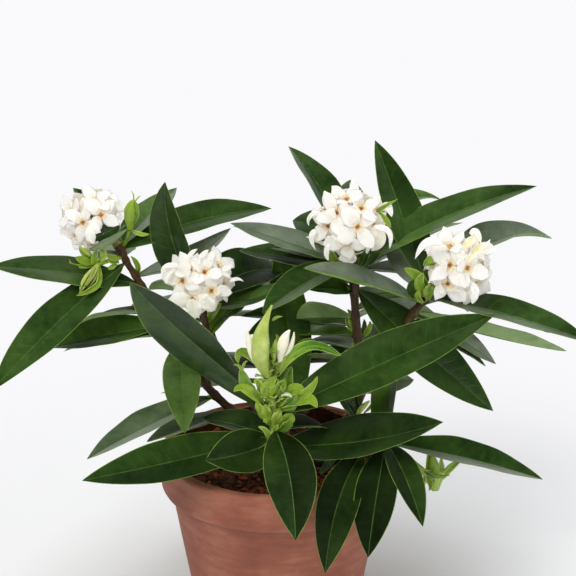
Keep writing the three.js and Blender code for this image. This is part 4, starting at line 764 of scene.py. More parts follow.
# ---------------------------------------------------------------- pot
def pot_and_soil():
    m, nt, b = tree("terracotta")
    grain = noise_of(nt, 1500.0, 4.0)
    patch = noise_of(nt, 38.0, 5.0)
    streak = noise_of(nt, 60.0, 4.0, stretch=(1, 1, 5.0))
    mix = math_node(nt, "ADD", math_node(nt, "MULTIPLY", patch, 0.55), math_node(nt, "ADD", math_node(nt, "MULTIPLY", grain, 0.15), math_node(nt, "MULTIPLY", streak, 0.3)))
    nt.links.new(ramp(nt, mix, [(0.3, srgb(120, 66, 50)), (0.5, srgb(150, 88, 68)), (0.7, srgb(176, 120, 100))]), b.inputs["Base Color"])
    nt.links.new(remap(nt, patch, 0.6, 0.85), b.inputs["Roughness"])
    bump(nt, b, mix, 0.5, 0.0005)
    M["terracotta"] = m
    # painted light and painted shade of the inner wall: a light clay for its lit stretch, a dark clay for the wall in
    # shade
    M["dry"] = soft_material("clay_dry", srgb(164, 104, 76), srgb(206, 150, 118), rough=0.75, scale=200, bumpy=0.6, depth=0.0006)
    M["damp"] = soft_material("clay_damp", srgb(34, 14, 10), srgb(92, 40, 28), rough=0.7, scale=300, bumpy=0.9, depth=0.0012)
    P = {"height": 100, "footRadius": 47, "waistRadius": 60, "waistHeight": 76, "rimFoot": 78.5, "rimRadius": 66, "rimInner": 60.5, "floor": 8, "floorRadius": 42}
    h, fr, wr, wh = P["height"], P["footRadius"], P["waistRadius"], P["waistHeight"]
    rf, rr, ri, fl, flr = P["rimFoot"], P["rimRadius"], P["rimInner"], P["floor"], P["floorRadius"]
    def rounded(points, radius=1.0, n=5):
        out = []
        for i, p in enumerate(points):
            p = np.array(p, float)
            if i in (0, len(points) - 1): out.append(p); continue
            a, c = np.array(points[i - 1], float), np.array(points[i + 1], float)
            ra = min(radius, 0.4 * np.linalg.norm(a - p), 0.4 * np.linalg.norm(c - p))
            u, w = unit(a - p), unit(c - p)
            for t in np.linspace(0, 1, n):
                q = (1 - t) ** 2 * (p + u * ra) + 2 * t * (1 - t) * p + t ** 2 * (p + w * ra)
                out.append(q)
        return out
    hole = 5.5
    prof = [(hole, fl), (flr, fl), (ri - 1.8, wh + 2), (ri, h - 3), (ri + 0.4, h - 0.2), (rr - 1.2, h - 0.2), (rr, h - 1.6), (rr + 0.0, rf + 1.8), (rr - 0.7, rf), (wr + 0.3, wh), (fr + 0.6, 3.2), (fr, 1.2), (fr - 1.6, 0.0), (fr - 5, 0.0), (fr - 6.5, 1.8), (hole + 1, 1.8), (hole, 2.4), (hole, fl)]
    prof = rounded(prof, 1.5, 5)
    Q = []
    for p, q in zip(prof[:-1], prof[1:]):
        n = max(1, int(np.linalg.norm(np.array(q) - np.array(p)) / 2.2))
        for t in np.linspace(0, 1, n, endpoint=False):
            Q.append(np.array(p) * (1 - t) + np.array(q) * t)
    Q = np.array(Q)
    sides = 288
    a = np.linspace(0, 2 * math.pi, sides, endpoint=False)
    V = np.stack([Q[:, None, 0] * np.cos(a), Q[:, None, 0] * np.sin(a), np.repeat(Q[:, 1][:, None], sides, 1)], -1)
    out = np.stack([np.cos(a), np.sin(a), 0 * a], -1)[None]
    wob = value_noise(V, 0.045, 5.0) * 0.25 + value_noise(V * np.array([1, 1, 4.0]), 0.22, 2.0) * 0.09
    wob = wob * (Q[:, 1] > 0.5)[:, None]
    V = V - np.abs(out * wob[..., None]) * np.sign(out)
    pot = Build()
    uv = np.stack(np.broadcast_arrays(a[None, :] / 6.283, np.linspace(0, 1, len(Q))[:, None]), -1)
    V2 = np.concatenate([V, V[:1]], 0); uv2 = np.concatenate([uv, uv[:1]], 0)
    pot.grid(V2, 0, uv2, closed=True, flip=True)
    # painted shade and painted light: the inner wall is painted dark where shade falls on it, but for a lit stretch at
    # the back right that is painted light
    inner_wall_light_shade = []
    lip = int(np.argmax(Q[:, 1]))
    for i in range(len(Q)):
        for j in range(sides):
            ang = math.degrees(a[j])
            inside = i < lip and Q[i, 1] > 60
            slack = 0.5 * (Q[i, 1] - h) + 0.8 * math.sin(Q[i, 1] * 0.9 + 1.0)
            in_painted_shade = Q[i, 1] < h - 1.6 + 1.1 * math.sin(ang * 0.21) and not 12 < ang + slack < 42
            inner_wall_light_shade.append(0 if not inside else 1 if in_painted_shade else 2 if Q[i, 1] < h - 1.0 else 0)
    pot.m = inner_wall_light_shade
    ob = pot.make("pot_clay", [M["terracotta"], M["damp"], M["dry"]], ["pot"], "terracotta")
    bm_weld(ob)
    # soil: a lumpy bed with chips of bark on it
    M["soil"] = soft_material("soil", srgb(30, 16, 12), srgb(78, 42, 30), rough=0.85, scale=420, bumpy=0.9, depth=0.0012)
    M["chip_a"] = soft_material("chip_dark", srgb(48, 24, 18), srgb(96, 50, 36), rough=0.75, scale=520, bumpy=0.8, depth=0.0006)
    M["chip_b"] = soft_material("chip_red", srgb(96, 40, 26), srgb(150, 78, 52), rough=0.7, scale=520, bumpy=0.8, depth=0.0006)
    S = {"top": 91, "edge": 88.6, "crownRadius": 20}
    R0 = ri - 0.5
    rings, sides = 40, 120
    rr_ = np.linspace(0.0, 1, rings) ** 0.8 * (R0 - 0.4)
    a = np.linspace(0, 2 * math.pi, sides, endpoint=False)
    X = rr_[:, None] * np.cos(a); Y = rr_[:, None] * np.sin(a)
    top = S["top"] + (S["edge"] - S["top"]) * np.clip((rr_ - S["crownRadius"]) / (R0 - S["crownRadius"]), 0, 1)
    Z = np.repeat(top[:, None], sides, 1)
    pts = np.stack([X, Y, 0 * X], -1)
    Z = Z + value_noise(pts, 0.22, 4.0) * 0.9 + value_noise(pts, 0.7, 7.0) * 0.5
    V = np.stack([X, Y, Z], -1)
    inner = lambda zz: np.interp(zz, [fl, wh + 2], [flr, ri - 1.8]) - 0.3
    low = []
    for zz in (80.0, 60.0, 35.0, fl + 0.4):
        rad_ = inner(zz)
        low.append(np.stack([rad_ * np.cos(a), rad_ * np.sin(a), np.full(sides, zz)], -1))
    edge_fix = inner(float(top[-1]))
    V[-1, :, 0] = edge_fix * np.cos(a); V[-1, :, 1] = edge_fix * np.sin(a)
    low.append(np.stack([0.5 * np.cos(a), 0.5 * np.sin(a), np.full(sides, fl + 0.4)], -1))
    V = np.concatenate([V, np.array(low)], 0)
    soil = Build()
    soil.grid(V, 0, None, closed=True, flip=False)
    rnd = rng_for("chips")
    placed = 0
    while placed < 900:
        rr1 = math.sqrt(rnd.uniform(0, 1)) * (R0 - 3.0); t = rnd.uniform(0, 2 * math.pi)
        if rr1 < 8.0: continue
        c = np.array([rr1 * math.cos(t), rr1 * math.sin(t), 0.0])
        zc = S["top"] + (S["edge"] - S["top"]) * max(0, (rr1 - S["crownRadius"]) / (R0 - S["crownRadius"]))
        L = rnd.uniform(2.4, 7.5); Wd = L * rnd.uniform(0.35, 0.7); H = rnd.uniform(0.7, 1.8)
        if rr1 + L / 2 > R0 - 0.8: continue
        rot = np.array(Matrix.Rotation(rnd.uniform(0, 6.28), 3, "Z") @ Matrix.Rotation(rnd.normal(0, 0.3), 3, "X") @ Matrix.Rotation(rnd.normal(0, 0.3), 3, "Y"))
        rows, cols = 5, 8
        u = np.linspace(0, math.pi, rows); v = np.linspace(0, 2 * math.pi, cols, endpoint=False)
        sx = np.sign(np.cos(v)) * np.abs(np.cos(v)) ** 0.6; sy = np.sign(np.sin(v)) * np.abs(np.sin(v)) ** 0.6
        prof_ = np.sin(u) ** 0.45
        G = np.stack([prof_[:, None] * sx * L / 2, prof_[:, None] * sy * Wd / 2, np.repeat((np.cos(u) * H / 2)[:, None], cols, 1)], -1)
        G = G + rnd.normal(0, 0.1 * H + 0.06, G.shape) * np.array([1, 1, 0.8])
        G[0] = G[0].mean(0); G[-1] = G[-1].mean(0)
        G = G @ rot.T + c + np.array([0, 0, zc + rnd.uniform(0.2, 1.3)])
        soil.grid(G, 1 if rnd.random() < 0.6 else 2, None, closed=True, flip=False)
        placed += 1
    ob = soil.make("soil_bed", [M["soil"], M["chip_a"], M["chip_b"]], ["soil"], "soil", smooth=False)
    bm_weld(ob)

def bm_weld(ob, dist=2e-5):
    import bmesh
    bm = bmesh.new(); bm.from_mesh(ob.data)
    bmesh.ops.remove_doubles(bm, verts=bm.verts, dist=dist)
    bmesh.ops.dissolve_degenerate(bm, dist=1e-6, edges=bm.edges)
    bmesh.ops.recalc_face_normals(bm, faces=bm.faces)
    bm.to_mesh(ob.data); bm.free()

# ---------------------------------------------------------------- leaves
def leaf_line(start, bearing, slope, length, droop, sweep, n):
    """Midrib points and directions of a leaf that turns evenly as it grows."""
    t = np.linspace(0, 1, n)
    fine = np.linspace(0, 1, 400)
    d = heading(bearing + sweep * fine, slope - droop * fine)
    P = np.array(start) + np.concatenate([[[0, 0, 0]], np.cumsum((d[1:] + d[:-1]) / 2, axis=0) * (fine[1] * length)])
    P = np.stack([np.interp(t, fine, P[:, k]) for k in range(3)], 1)
    b, e = bearing + sweep * t, slope - droop * t
    d = heading(b, e)
    u = np.stack([-np.sin(np.radians(b)), np.cos(np.radians(b)), 0 * b], -1)
    return t, P, d, u, np.cross(d, u)

def blade(build, t, P, u, nrm, roll, half, fold, mats, seed, bulge=0.16, ripple=0.012, thick=0.34, rib=0.34,
          margin=0.32, keel=0.8, cols=6, curl=0.0):
    """A closed thin blade. half(t) is the half width; mats = (top, margin, midrib, underside)."""
    rnd = rng_for("blade", seed)
    roll = np.radians(np.broadcast_to(roll, t.shape))
    across = u * np.cos(roll)[:, None] + nrm * np.sin(roll)[:, None]
    above = -u * np.sin(roll)[:, None] + nrm * np.cos(roll)[:, None]
    w = half(t)
    e = np.minimum(margin, 0.3 * w)
    m = np.minimum(rib * (1 - 0.72 * t) + 0.06, 0.3 * w)
    inner = np.linspace(1, 0, cols)                       # from the margin to the midrib
    V = [np.full_like(w, 1.0) * w]
    for k in inner: V.append(m + (w - e - m) * k)
    V.append(0 * w)
    right = np.stack(V, 1)                                # rows by (cols + 2), from the edge to the centre
    pos = np.concatenate([-right, right[:, ::-1][:, 1:]], 1)   # left edge ... centre ... right edge
    a = np.abs(pos) / np.maximum(w, 1e-6)[:, None]
    ph = rnd.uniform(0, 6.28, 4)
    W = w.max()
    wave = np.zeros_like(pos)
    for side, p0 in ((-1, ph[0]), (1, ph[1])):
        on = (np.sign(pos) == side)
        k = rnd.uniform(2.2, 3.6)
        wv = np.sin(t * 6.28 * k + p0) * ripple * 2 * W * np.sin(np.pi * t) + np.sin(t * 6.28 * 1.1 + p0 * 2) * ripple * 2.2 * W * np.sin(np.pi * t)
        wave += on * (a ** 2) * wv[:, None]
    f = math.radians(fold)
    lift = np.abs(pos) * math.sin(f) + bulge * np.abs(pos) * (1 - a) - curl * w[:, None] * a ** 3
    groove = -0.16 * np.exp(-(pos / 0.7) ** 2) * (1 - 0.6 * t)[:, None]
    top = (P[:, None, :] + across[:, None, :] * (pos * math.cos(f))[..., None]
           + above[:, None, :] * (lift + wave + groove)[..., None])
    # normals of the upper face
    dt = np.gradient(top, axis=0)
    dv = np.zeros_like(top)
    safe = np.maximum(w, 0.05)[:, None, None]
    dv[:] = across[:, None, :] * math.cos(f) + above[:, None, :] * (np.sign(pos) * (math.sin(f) + bulge * (1 - 2 * a)))[..., None]
    n = unit(np.cross(unit(dt), unit(dv)))
    flip = np.sum(n * above[:, None, :], -1) < 0
    n = np.where(flip[..., None], -n, n)
    ends = np.clip(np.minimum(t / 0.02 + 0.3, (1 - t) / 0.05 + 0.1), 0, 1)[:, None]
    th = thick * ends * np.clip(w[:, None] / 1.2, 0.35, 1)
    low = top - n * th[..., None]
    kl = keel * (1 - 0.85 * t)[:, None] * np.clip(w[:, None] / 1.6, 0.2, 1) * np.exp(-(pos / (rib * 1.1)) ** 2)
    low = low - above[:, None, :] * kl[..., None]
    c = pos.shape[1]
    loop = np.concatenate([top, low[:, ::-1][:, 1:-1]], 1)
    L = np.concatenate([[0], np.cumsum(np.linalg.norm(np.diff(P, axis=0), axis=1))])
    uvt = np.stack([np.where(w[:, None] > 0, pos / np.maximum(w, 1e-6)[:, None], 0), np.repeat(L[:, None] / 22.0, c, 1)], -1)
    uv = np.concatenate([uvt, uvt[:, ::-1][:, 1:-1]], 1)
    total = loop.shape[1]
    mid = c // 2
    strip = []
    for j in range(total):
        if j < c - 1:
            if j in (0, c - 2): strip.append(mats[1])
            elif j in (mid - 1, mid): strip.append(mats[2])
            else: strip.append(mats[0] if np.isscalar(mats[0]) else mats[0][j > mid])
        else:
            k = j - (c - 1)                               # along the underside, from the right edge
            if k in (0, total - c): strip.append(mats[1])
            else:
                colpos = c - 1 - k
                strip.append(mats[2] if colpos in (mid, mid + 1) else mats[3])
    base = build.n
    turn = lambda i, j: t[i] - 0.05 * abs(min(j, total - 1) - mid)
    pick = strip if len(mats) < 5 else (lambda i, j: strip[j] if strip[j] != mats[0] or turn(i, j) < 0.12 else mats[4] if turn(i, j) < 0.36 else mats[5])
    build.grid(loop, pick, uv, closed=True, flip=False)
    for row, turn in ((0, 1), (len(t) - 1, -1)):
        o = base + row * total
        half_n = total // 2
        for j in range(half_n - 1):                       # close both ends with a strip of quads
            q = (o + (total - j) % total, o + j, o + j + 1, o + total - j - 1)
            q = tuple(dict.fromkeys(q))
            if len(q) < 3: continue
            build.f.append(q[::-1] if turn > 0 else q)
            build.m.append(mats[2])

def leaf_half(W, wide=0.95, stalk=1.0, shoulder=0.08):
    def half(t):
        s = np.clip(t / shoulder, 0, 1); s = s * s * (3 - 2 * s)
        h = W / 2 * np.power(np.clip(4 * t * (1 - t), 0, 1), wide) * (0.5 + 0.5 * s)
        return np.maximum(h, stalk * (1 - t) ** 3 * (t < 0.5) + 0.04)
    return half

# Tone of the right and left half of a leaf, set half by half, so besides the leaf's own tone it holds painted light: a,
# b, c, e, f and j are greens, made lighter or darker in part where light falls on the leaf; d is painted shade; g, h
# and i are painted sheen, the grey reflection of the backdrop painted into the colour. The rest fall to the seed.
LEAF_TONES = {"A0": "ii", "A1": "gi", "A2": "ee", "A3": "cb", "A4": "cb", "A5": "dd", "A6": "bb", "A7": "ii", "A8": "bb", "A9": "bb", "A10": "bb", "A11": "bb", "A12": "he", "A13": "bb", "A14": "bb", "B0": "jj", "B1": "be", "B2": "bb", "B3": "bb", "B4": "aa", "B5": "bb", "B6": "da", "C0": "ii", "C1": "bb", "C2": "ii", "C3": "ff", "C4": "dd", "C5": "ff", "C6": "bb", "C7": "ff", "C8": "bd", "C9": "eb", "C10": "bb", "C11": "hg", "C12": "bg", "C13": "bb", "C14": "bb", "C15": "bb", "C16": "bb", "D0": "bb", "D1": "ii", "D2": "ii", "D3": "hf", "D4": "bb", "D5": "gb", "D6": "ab", "D7": "ii", "D8": "bb", "D9": "bb", "D10": "hh", "E0": "aa", "E1": "aa", "E2": "aa", "E3": "ba", "E4": "dd", "E5": "ad", "E6": "bb", "E7": "ab", "G0": "if", "G1": "da", "G2": "da", "G3": "ib", "J0": "cc", "J1": "ff", "J2": "ff", "J3": "ii", "J4": "bb", "J5": "bb", "J6": "aa", "J7": "bb", "J8": "bb", "J9": "bb", "J10": "bb", "K0": "bb", "K1": "ii", "K2": "bb", "K3": "bb", "K4": "bb", "K5": "bb", "H0": "bb", "H1": "bb", "H2": "bb", "H3": "bb", "H4": "bb", "H5": "bb", "L0": "bb", "L1": "bb", "L2": "dd", "L3": "dd", "L4": "bb", "L5": "bb", "G4": "dd"}

def leaves():
    order = ["leaf_a", "leaf_b", "leaf_c", "leaf_d", "leaf_e", "leaf_f", "leaf_g", "leaf_h", "leaf_i", "leaf_j", "margin", "midrib", "under"]
    mats = [M[k] for k in order]
    ix = {k: i for i, k in enumerate(order)}
    for key, bough in BOUGHS.items():
        line = LINES[key]
        b = Build()
        rnd = rng_for("tone", key)
        for i, row in enumerate(bough["leaves"]):
            s, az, el, L, droop, side, roll, W, fold = row
            start = point_at(line, s)
            n = int(np.clip(L / 2.4, 16, 44))
            t, P, d, u, nrm = leaf_line(start, az, el, L, droop, side, n)
            # leaves not in the table get a seeded tone, g among them, which is painted sheen
            free = "aabbbcceg"[rnd.integers(9)]
            tone = [ix["leaf_" + k] for k in (LEAF_TONES.get(f"{key}{i}") or free + free)]
            blade(b, t, P, u, nrm, roll, leaf_half(W), fold, (tone, ix["margin"], ix["midrib"], ix["under"]), f"{key}{i}")
        ob = b.make("leaves_" + bough["name"], mats, MASSES[key], "foliage")
        bm_weld(ob)

# ---------------------------------------------------------------- blossom
def lobe(build, mouth, f, out, side, size, width, open_deg, bend, cup, twist, lift, mats, rnd, rows=15, cols=11, thick=0.17, crimp=0.035, foot=0.6, spread=1.0):
    """One waxy lobe: it leaves the mouth along out, opened from f by open_deg and bent back by bend."""
    t = np.linspace(0, 1, rows)
    th = np.radians(open_deg * (0.6 + 0.4 * np.clip(t / 0.2, 0, 1)) + bend * t ** 1.6)
    dirs = np.sin(th)[:, None] * out + np.cos(th)[:, None] * f
    step = size / (rows - 1)
    P = mouth + out * spread + f * lift + np.concatenate([[[0, 0, 0]], np.cumsum((dirs[1:] + dirs[:-1]) / 2, axis=0) * step])
    nrm = unit(np.cross(dirs, side))
    if (nrm[0] @ f) < 0: nrm = -nrm
    # broad foot, widest before the middle, drawn out to a point
    sharp = rnd.uniform(0.0, 1.0)
    w = width / 2 * np.interp(t, [0, 0.12, 0.28, 0.45, 0.62, 0.78, 0.9, 1.0], [foot * 0.66, foot, 0.92, 1.0, 0.96 - 0.06 * sharp, 0.8 - 0.16 * sharp, 0.46 - 0.2 * sharp, 0.04])
    p0, p1, p2 = rnd.uniform(0, 6.28, 3)
    nick = 1 + crimp * (np.sin(t * 23 + p0) + 0.7 * np.sin(t * 41 + p1)) * np.clip(t * 3, 0, 1)
    lean = 0.10 * width * np.sin(np.pi * t) * rnd.normal(0, 0.6)
    v = np.linspace(-1, 1, cols)
    tw = math.radians(twist) * t
    sd = side[None] * np.cos(tw)[:, None] + nrm * np.sin(tw)[:, None]
    nn = -side[None] * np.sin(tw)[:, None] + nrm * np.cos(tw)[:, None]
    wave = 0.07 * width * np.sin(t[:, None] * 8 + v[None] * 2.2 + p2) * np.abs(v[None]) ** 2 * np.clip(t * 2, 0, 1)[:, None]
    crease = -0.22 * np.exp(-(v / 0.3) ** 2)[None] * np.sin(np.pi * t)[:, None] ** 0.7
    z = cup * w[:, None] * (v ** 2)[None] + wave + crease
    pos = (w * nick)[:, None] * v[None] * (1 - 0.10 * abs(cup) * v[None] ** 2) + lean[:, None]
    top = P[:, None] + sd[:, None] * pos[..., None] + nn[:, None] * z[..., None]
    fade = np.clip(np.minimum(t / 0.05 + 0.5, (1 - t) / 0.1 + 0.25), 0, 1)[:, None] * (1 - 0.45 * np.abs(v[None]) ** 3)
    low = top - nn[:, None] * (thick * fade)[..., None]
    loop = np.concatenate([top, low[:, ::-1][:, 1:-1]], 1)
    total = loop.shape[1]
    uv = np.stack(np.broadcast_arrays(np.zeros((1, total)), t[:, None]), -1)
    front = mats["front"]
    mid = (cols - 1) / 2
    def pick(i, j):
        if j < cols - 1:
            c = abs(j + 0.5 - mid) / mid
            k = i + 5.0 * max(0.0, c - 0.35)               # partly the mouth's own stain, partly painted shade: gold, tan and warm beige near the mouth where the funnel lies in shade, running out along the fold
            return front[0] if k < 1.0 else front[1] if k < 3.0 else front[2] if k < 5.5 else front[3]
        return mats["back"]
    base = build.n
    build.grid(loop, pick, uv, closed=True)
    for row, turn in ((0, 1), (rows - 1, -1)):
        o = base + row * total
        for j in range(total // 2 - 1):
            q = tuple(dict.fromkeys((o + (total - j) % total, o + j, o + j + 1, o + total - j - 1)))
            if len(q) < 3: continue
            build.f.append(q[::-1] if turn > 0 else q); build.m.append(pick(min(row, rows - 2), 0))

def basis(f, roll):
    e = np.cross(f, [0, 0, 1.0])
    if np.linalg.norm(e) < 1e-3: e = np.array([1.0, 0, 0])
    e = unit(e); g = np.cross(e, f)
    c, s = math.cos(rad(roll)), math.sin(rad(roll))
    return e * c + g * s, -e * s + g * c

def lathe(build, path, radii, sides, mats, squash=1.0, e1=None):
    """A closed body of rings round a path, its ends drawn together."""
    T, S, U = frames_along(np.asarray(path, float), e1)
    a = np.linspace(0, 2 * math.pi, sides, endpoint=False)
    V = np.asarray(path)[:, None] + np.asarray(radii)[:, None, None] * (np.cos(a)[None, :, None] * S[:, None] + squash * np.sin(a)[None, :, None] * U[:, None])
    base = build.n
    build.grid(V, mats, None, closed=True, flip=True)
    for row, turn in ((0, 1), (len(path) - 1, -1)):
        o = base + row * sides
        m = (mats(min(row, len(path) - 2), 0) if callable(mats) else mats if np.isscalar(mats) else mats[0])
        build.v.append(V[row].mean(0)[None]); build.uv.append(np.zeros((1, 2)))
        ci = build.n; build.n += 1
        for j in range(sides):
            fc = (ci, o + j, o + (j + 1) % sides)
            build.f.append(fc if turn > 0 else fc[::-1]); build.m.append(m)

FM = ["throat", "petal_gold", "petal_tan", "petal_warm", "petal", "petal_back", "tube", "tube_blush", "throat_deep", "anther", "cream"]

def flower(build, root, mouth, f, roll, size, openness, rnd, look):
    """Tube from root to mouth, four lobes, stained throat with its anthers."""
    ix = {k: i for i, k in enumerate(FM)}
    # tube: outer wall up to the mouth, then down inside to the bottom of the throat
    n = 8
    s = np.linspace(0, 1, n)
    way = mouth - root
    bow = unit(np.cross(way, [0.2, 0.3, 1.0])) * rnd.normal(0, 0.5)
    outer = root + way * s[:, None] + bow * np.sin(np.pi * s)[:, None]
    inner = mouth - f * np.array([0.2, 0.9, 1.8, 2.6])[:, None]
    path = np.concatenate([outer, inner])
    r = np.concatenate([0.95 + 0.55 * s ** 1.5, [1.22, 0.95, 0.7, 0.3]])
    T = unit(np.gradient(outer, axis=0))
    e1, e2 = basis(f, roll)
    sides = 12
    a = np.linspace(0, 2 * math.pi, sides, endpoint=False)
    ring = np.cos(a)[:, None] * e1 + np.sin(a)[:, None] * e2
    V = path[:, None] + r[:, None, None] * ring[None]
    def pick(i, j):
        if i < n - 1: return ix[look["tube"]]
        return ix["throat"] if i < n + 1 else ix["throat_deep"]
    base = build.n
    build.grid(V, pick, None, closed=True, flip=False)
    for row, turn in ((0, 1), (len(path) - 1, -1)):
        o = base + row * sides
        build.v.append(V[row].mean(0)[None]); build.uv.append(np.zeros((1, 2)))
        ci = build.n; build.n += 1
        for j in range(sides):
            fc = (ci, o + j, o + (j + 1) % sides)
            build.f.append(fc[::-1] if turn > 0 else fc); build.m.append(ix["throat_deep"] if row else ix[look["tube"]])
    # anthers in the mouth
    for k in range(4):
        ang = rad(45 + 90 * k)
        q = mouth + (math.cos(ang) * e1 + math.sin(ang) * e2) * 0.72 - f * 0.35
        lathe(build, [q - f * 0.5, q - f * 0.2, q + f * 0.25, q + f * 0.5], [0.15, 0.32, 0.3, 0.1], 6, ix["anther"])
    plain = look["petal"] if look["petal"] in ix else "petal"
    for k in range(4):
        ang = rad(roll_jitter(k, rnd))
        out = math.cos(ang) * e1 + math.sin(ang) * e2
        side = -math.sin(ang) * e1 + math.cos(ang) * e2
        ln = size * rnd.uniform(0.86, 1.02) * (1.04 if k % 2 == 0 else 0.94)
        lobe(build, mouth, f, out, side, ln, ln * rnd.uniform(0.62, 0.8), openness + rnd.normal(0, 7), rnd.uniform(4, 32) if look.get("still") or rnd.random() < 0.75 else rnd.uniform(50, 85),
             rnd.uniform(-0.30, 0.16), rnd.normal(0, 10), (0.12 if k % 2 == 0 else -0.16),
             {"front": (ix["petal_gold"], ix["petal_tan"], ix["petal_warm"], ix[plain]), "back": ix["petal_back"]}, rnd,
             crimp=abs(rnd.normal(0.02, 0.025)))

def roll_jitter(k, rnd):
    return 90 * k + rnd.normal(0, 6)

def flower_bud(build, root, tip, fat, rnd, mat, tube_mat):
    """A closed flower: slim tube and swollen four-sided tip."""
    s = np.linspace(0, 1, 12)
    way = tip - root
    path = root + way * s[:, None] + unit(np.cross(way, [0.3, 0.1, 1.0])) * (np.sin(np.pi * s) * rnd.normal(0, 0.5))[:, None]
    r = np.interp(s, [0, 0.45, 0.6, 0.78, 0.93, 1.0], [0.75, 1.0, 1.5, fat, fat * 0.62, 0.25])
    def pick(i, j): return mat if i > 5 else tube_mat
    lathe(build, path, r, 10, pick, squash=0.9)

def head_directions(key, head):
    """The flowers that are listed, then more at even spacing over the rest of the ball, clear of the stem."""
    rnd = rng_for("head", key)
    rows = [tuple(r) for r in head["flowers"]]
    dirs = [heading(r[0], r[1]) for r in rows]
    down = unit(-way_at(LINES[key], LINES[key][1][-1], 6.0))
    while len(dirs) < head["count"]:
        best, score = None, -9
        for _ in range(160):
            d = unit(rnd.normal(0, 1, 3))
            if d @ down > 0.78: continue
            gap = min([math.degrees(math.acos(max(-1, min(1, d @ q)))) for q in dirs] or [90])
            if gap > score: best, score = d, gap
        if best is None or score < 20: break
        dirs.append(best)
        rows.append((None, None, rnd.uniform(0, 90), rnd.uniform(0.84, 1.0), rnd.uniform(74, 94), rnd.normal(0, 1.1), "petal"))
    return dirs, rows

def blossom():
    mats = [M[k] for k in FM]
    ix = {k: i for i, k in enumerate(FM)}
    for key, head in HEADS.items():
        b = Build()
        rnd = rng_for("flowers", key)
        c = np.array(head["centre"], float)
        R = head["radius"]
        end = point_at(LINES[key], 1e9)
        tang = way_at(LINES[key], LINES[key][1][-1], 5.0)
        dirs, rows = head_directions(key, head)
        for d, row in zip(dirs, rows):
            roll, size, open_deg, lift, look = row[2], row[3], row[4], row[5], row[6]
            mouth = c + d * (R * 0.66 + lift)
            root = end + unit(mouth - end) * 1.5 + d * 1.0
            f = unit(d + (0.12 * rnd.normal(0, 1, 3) if row[0] is None else np.array([0, -0.52, 0.18])))
            if look == "none": continue
            if look == "bud":
                flower_bud(b, root, c + d * (R * 0.86 + lift), 2.3 * size, rnd, ix["cream"], ix["tube"])
            else:
                flower(b, root, mouth, f, roll, R * 0.6 * size, open_deg, rnd,
                       {"tube": "tube_blush" if rnd.random() < 0.35 else "tube", "petal": look if look in ix else "petal", "still": row[0] is not None})
        # short inner lobes close the ball between the tubes; they are painted tan and warm beige, painted shade of the
        # ball's depths
        for _ in range(26):
            d = unit(rnd.normal(0, 1, 3))
            if d @ unit(-tang) > 0.8 or any(q[6] == "none" and d @ heading(q[0], q[1]) > 0.84 for q in rows): continue
            e1, e2 = basis(d, rnd.uniform(0, 360))
            lobe(b, c + d * R * rnd.uniform(0.34, 0.44), d, e1, e2, R * rnd.uniform(0.42, 0.52), R * rnd.uniform(0.34, 0.42), rnd.uniform(50, 84), rnd.uniform(0, 30),
                 rnd.uniform(-0.2, 0.2), rnd.normal(0, 14), 0.0, {"front": (ix["petal_tan"], ix["petal_warm"], ix["petal_warm"], ix["petal_warm"]), "back": ix["petal_back"]}, rnd, rows=9, cols=7)
        # a few unopened flowers between the open ones
        for _ in range(4):
            d = unit(tang + rnd.normal(0, 0.55, 3))
            gap = min(math.degrees(math.acos(max(-1, min(1, d @ q)))) for q in dirs)
            if gap < 15: continue
            flower_bud(b, end + d * 2, c + d * R * 0.72, 1.5, rnd, ix["cream"], ix["tube"])
        ob = b.make("blossom_of_" + head["name"], mats, ["blossom_" + head["name"]], "blossom")
        bm_weld(ob, 1e-5)

# ---------------------------------------------------------------- bracts, young leaves and buds
def curve3(p, n):
    """Points on the smooth curve through three or more control points."""
    p = np.asarray(p, float)
    if len(p) == 3:
        t = np.linspace(0, 1, n)[:, None]
        c = 2 * p[1] - (p[0] + p[2]) / 2
        return (1 - t) ** 2 * p[0] + 2 * t * (1 - t) * c + t ** 2 * p[2]
    P, s = smooth_path(p, 0.3, 4)
    i = np.linspace(0, len(P) - 1, n)
    return np.stack([np.interp(i, np.arange(len(P)), P[:, k]) for k in range(3)], 1)

def ribbon(build, pts, width, face, fold, mats, seed, wide=0.8, base=0.5, thick=0.3, curl=0.0, n=22, cols=5, peak=0.5, ripple=0.05, bulge=0.3):
    """A bract or young leaf along a curve; face is the way its upper side looks."""
    P = curve3(pts, n)
    t = np.linspace(0, 1, n)
    T = unit(np.gradient(P, axis=0))
    face = unit(np.asarray(face, float))
    side = unit(np.cross(face[None], T))
    up = np.cross(T, side)
    k = math.log(0.5) / math.log(peak)
    def half(tt):
        q = np.clip(tt, 0, 1) ** k
        h = width / 2 * np.power(np.clip(4 * q * (1 - q), 0, 1), wide)
        return np.maximum(h, base * width / 2 * (1 - tt) ** 1.5 + 0.05)
    blade(build, t, P, side, up, 0.0, half, fold, mats, seed, bulge=bulge, ripple=ripple, thick=thick, rib=0.28, margin=0.26, keel=0.35, cols=cols, curl=curl)

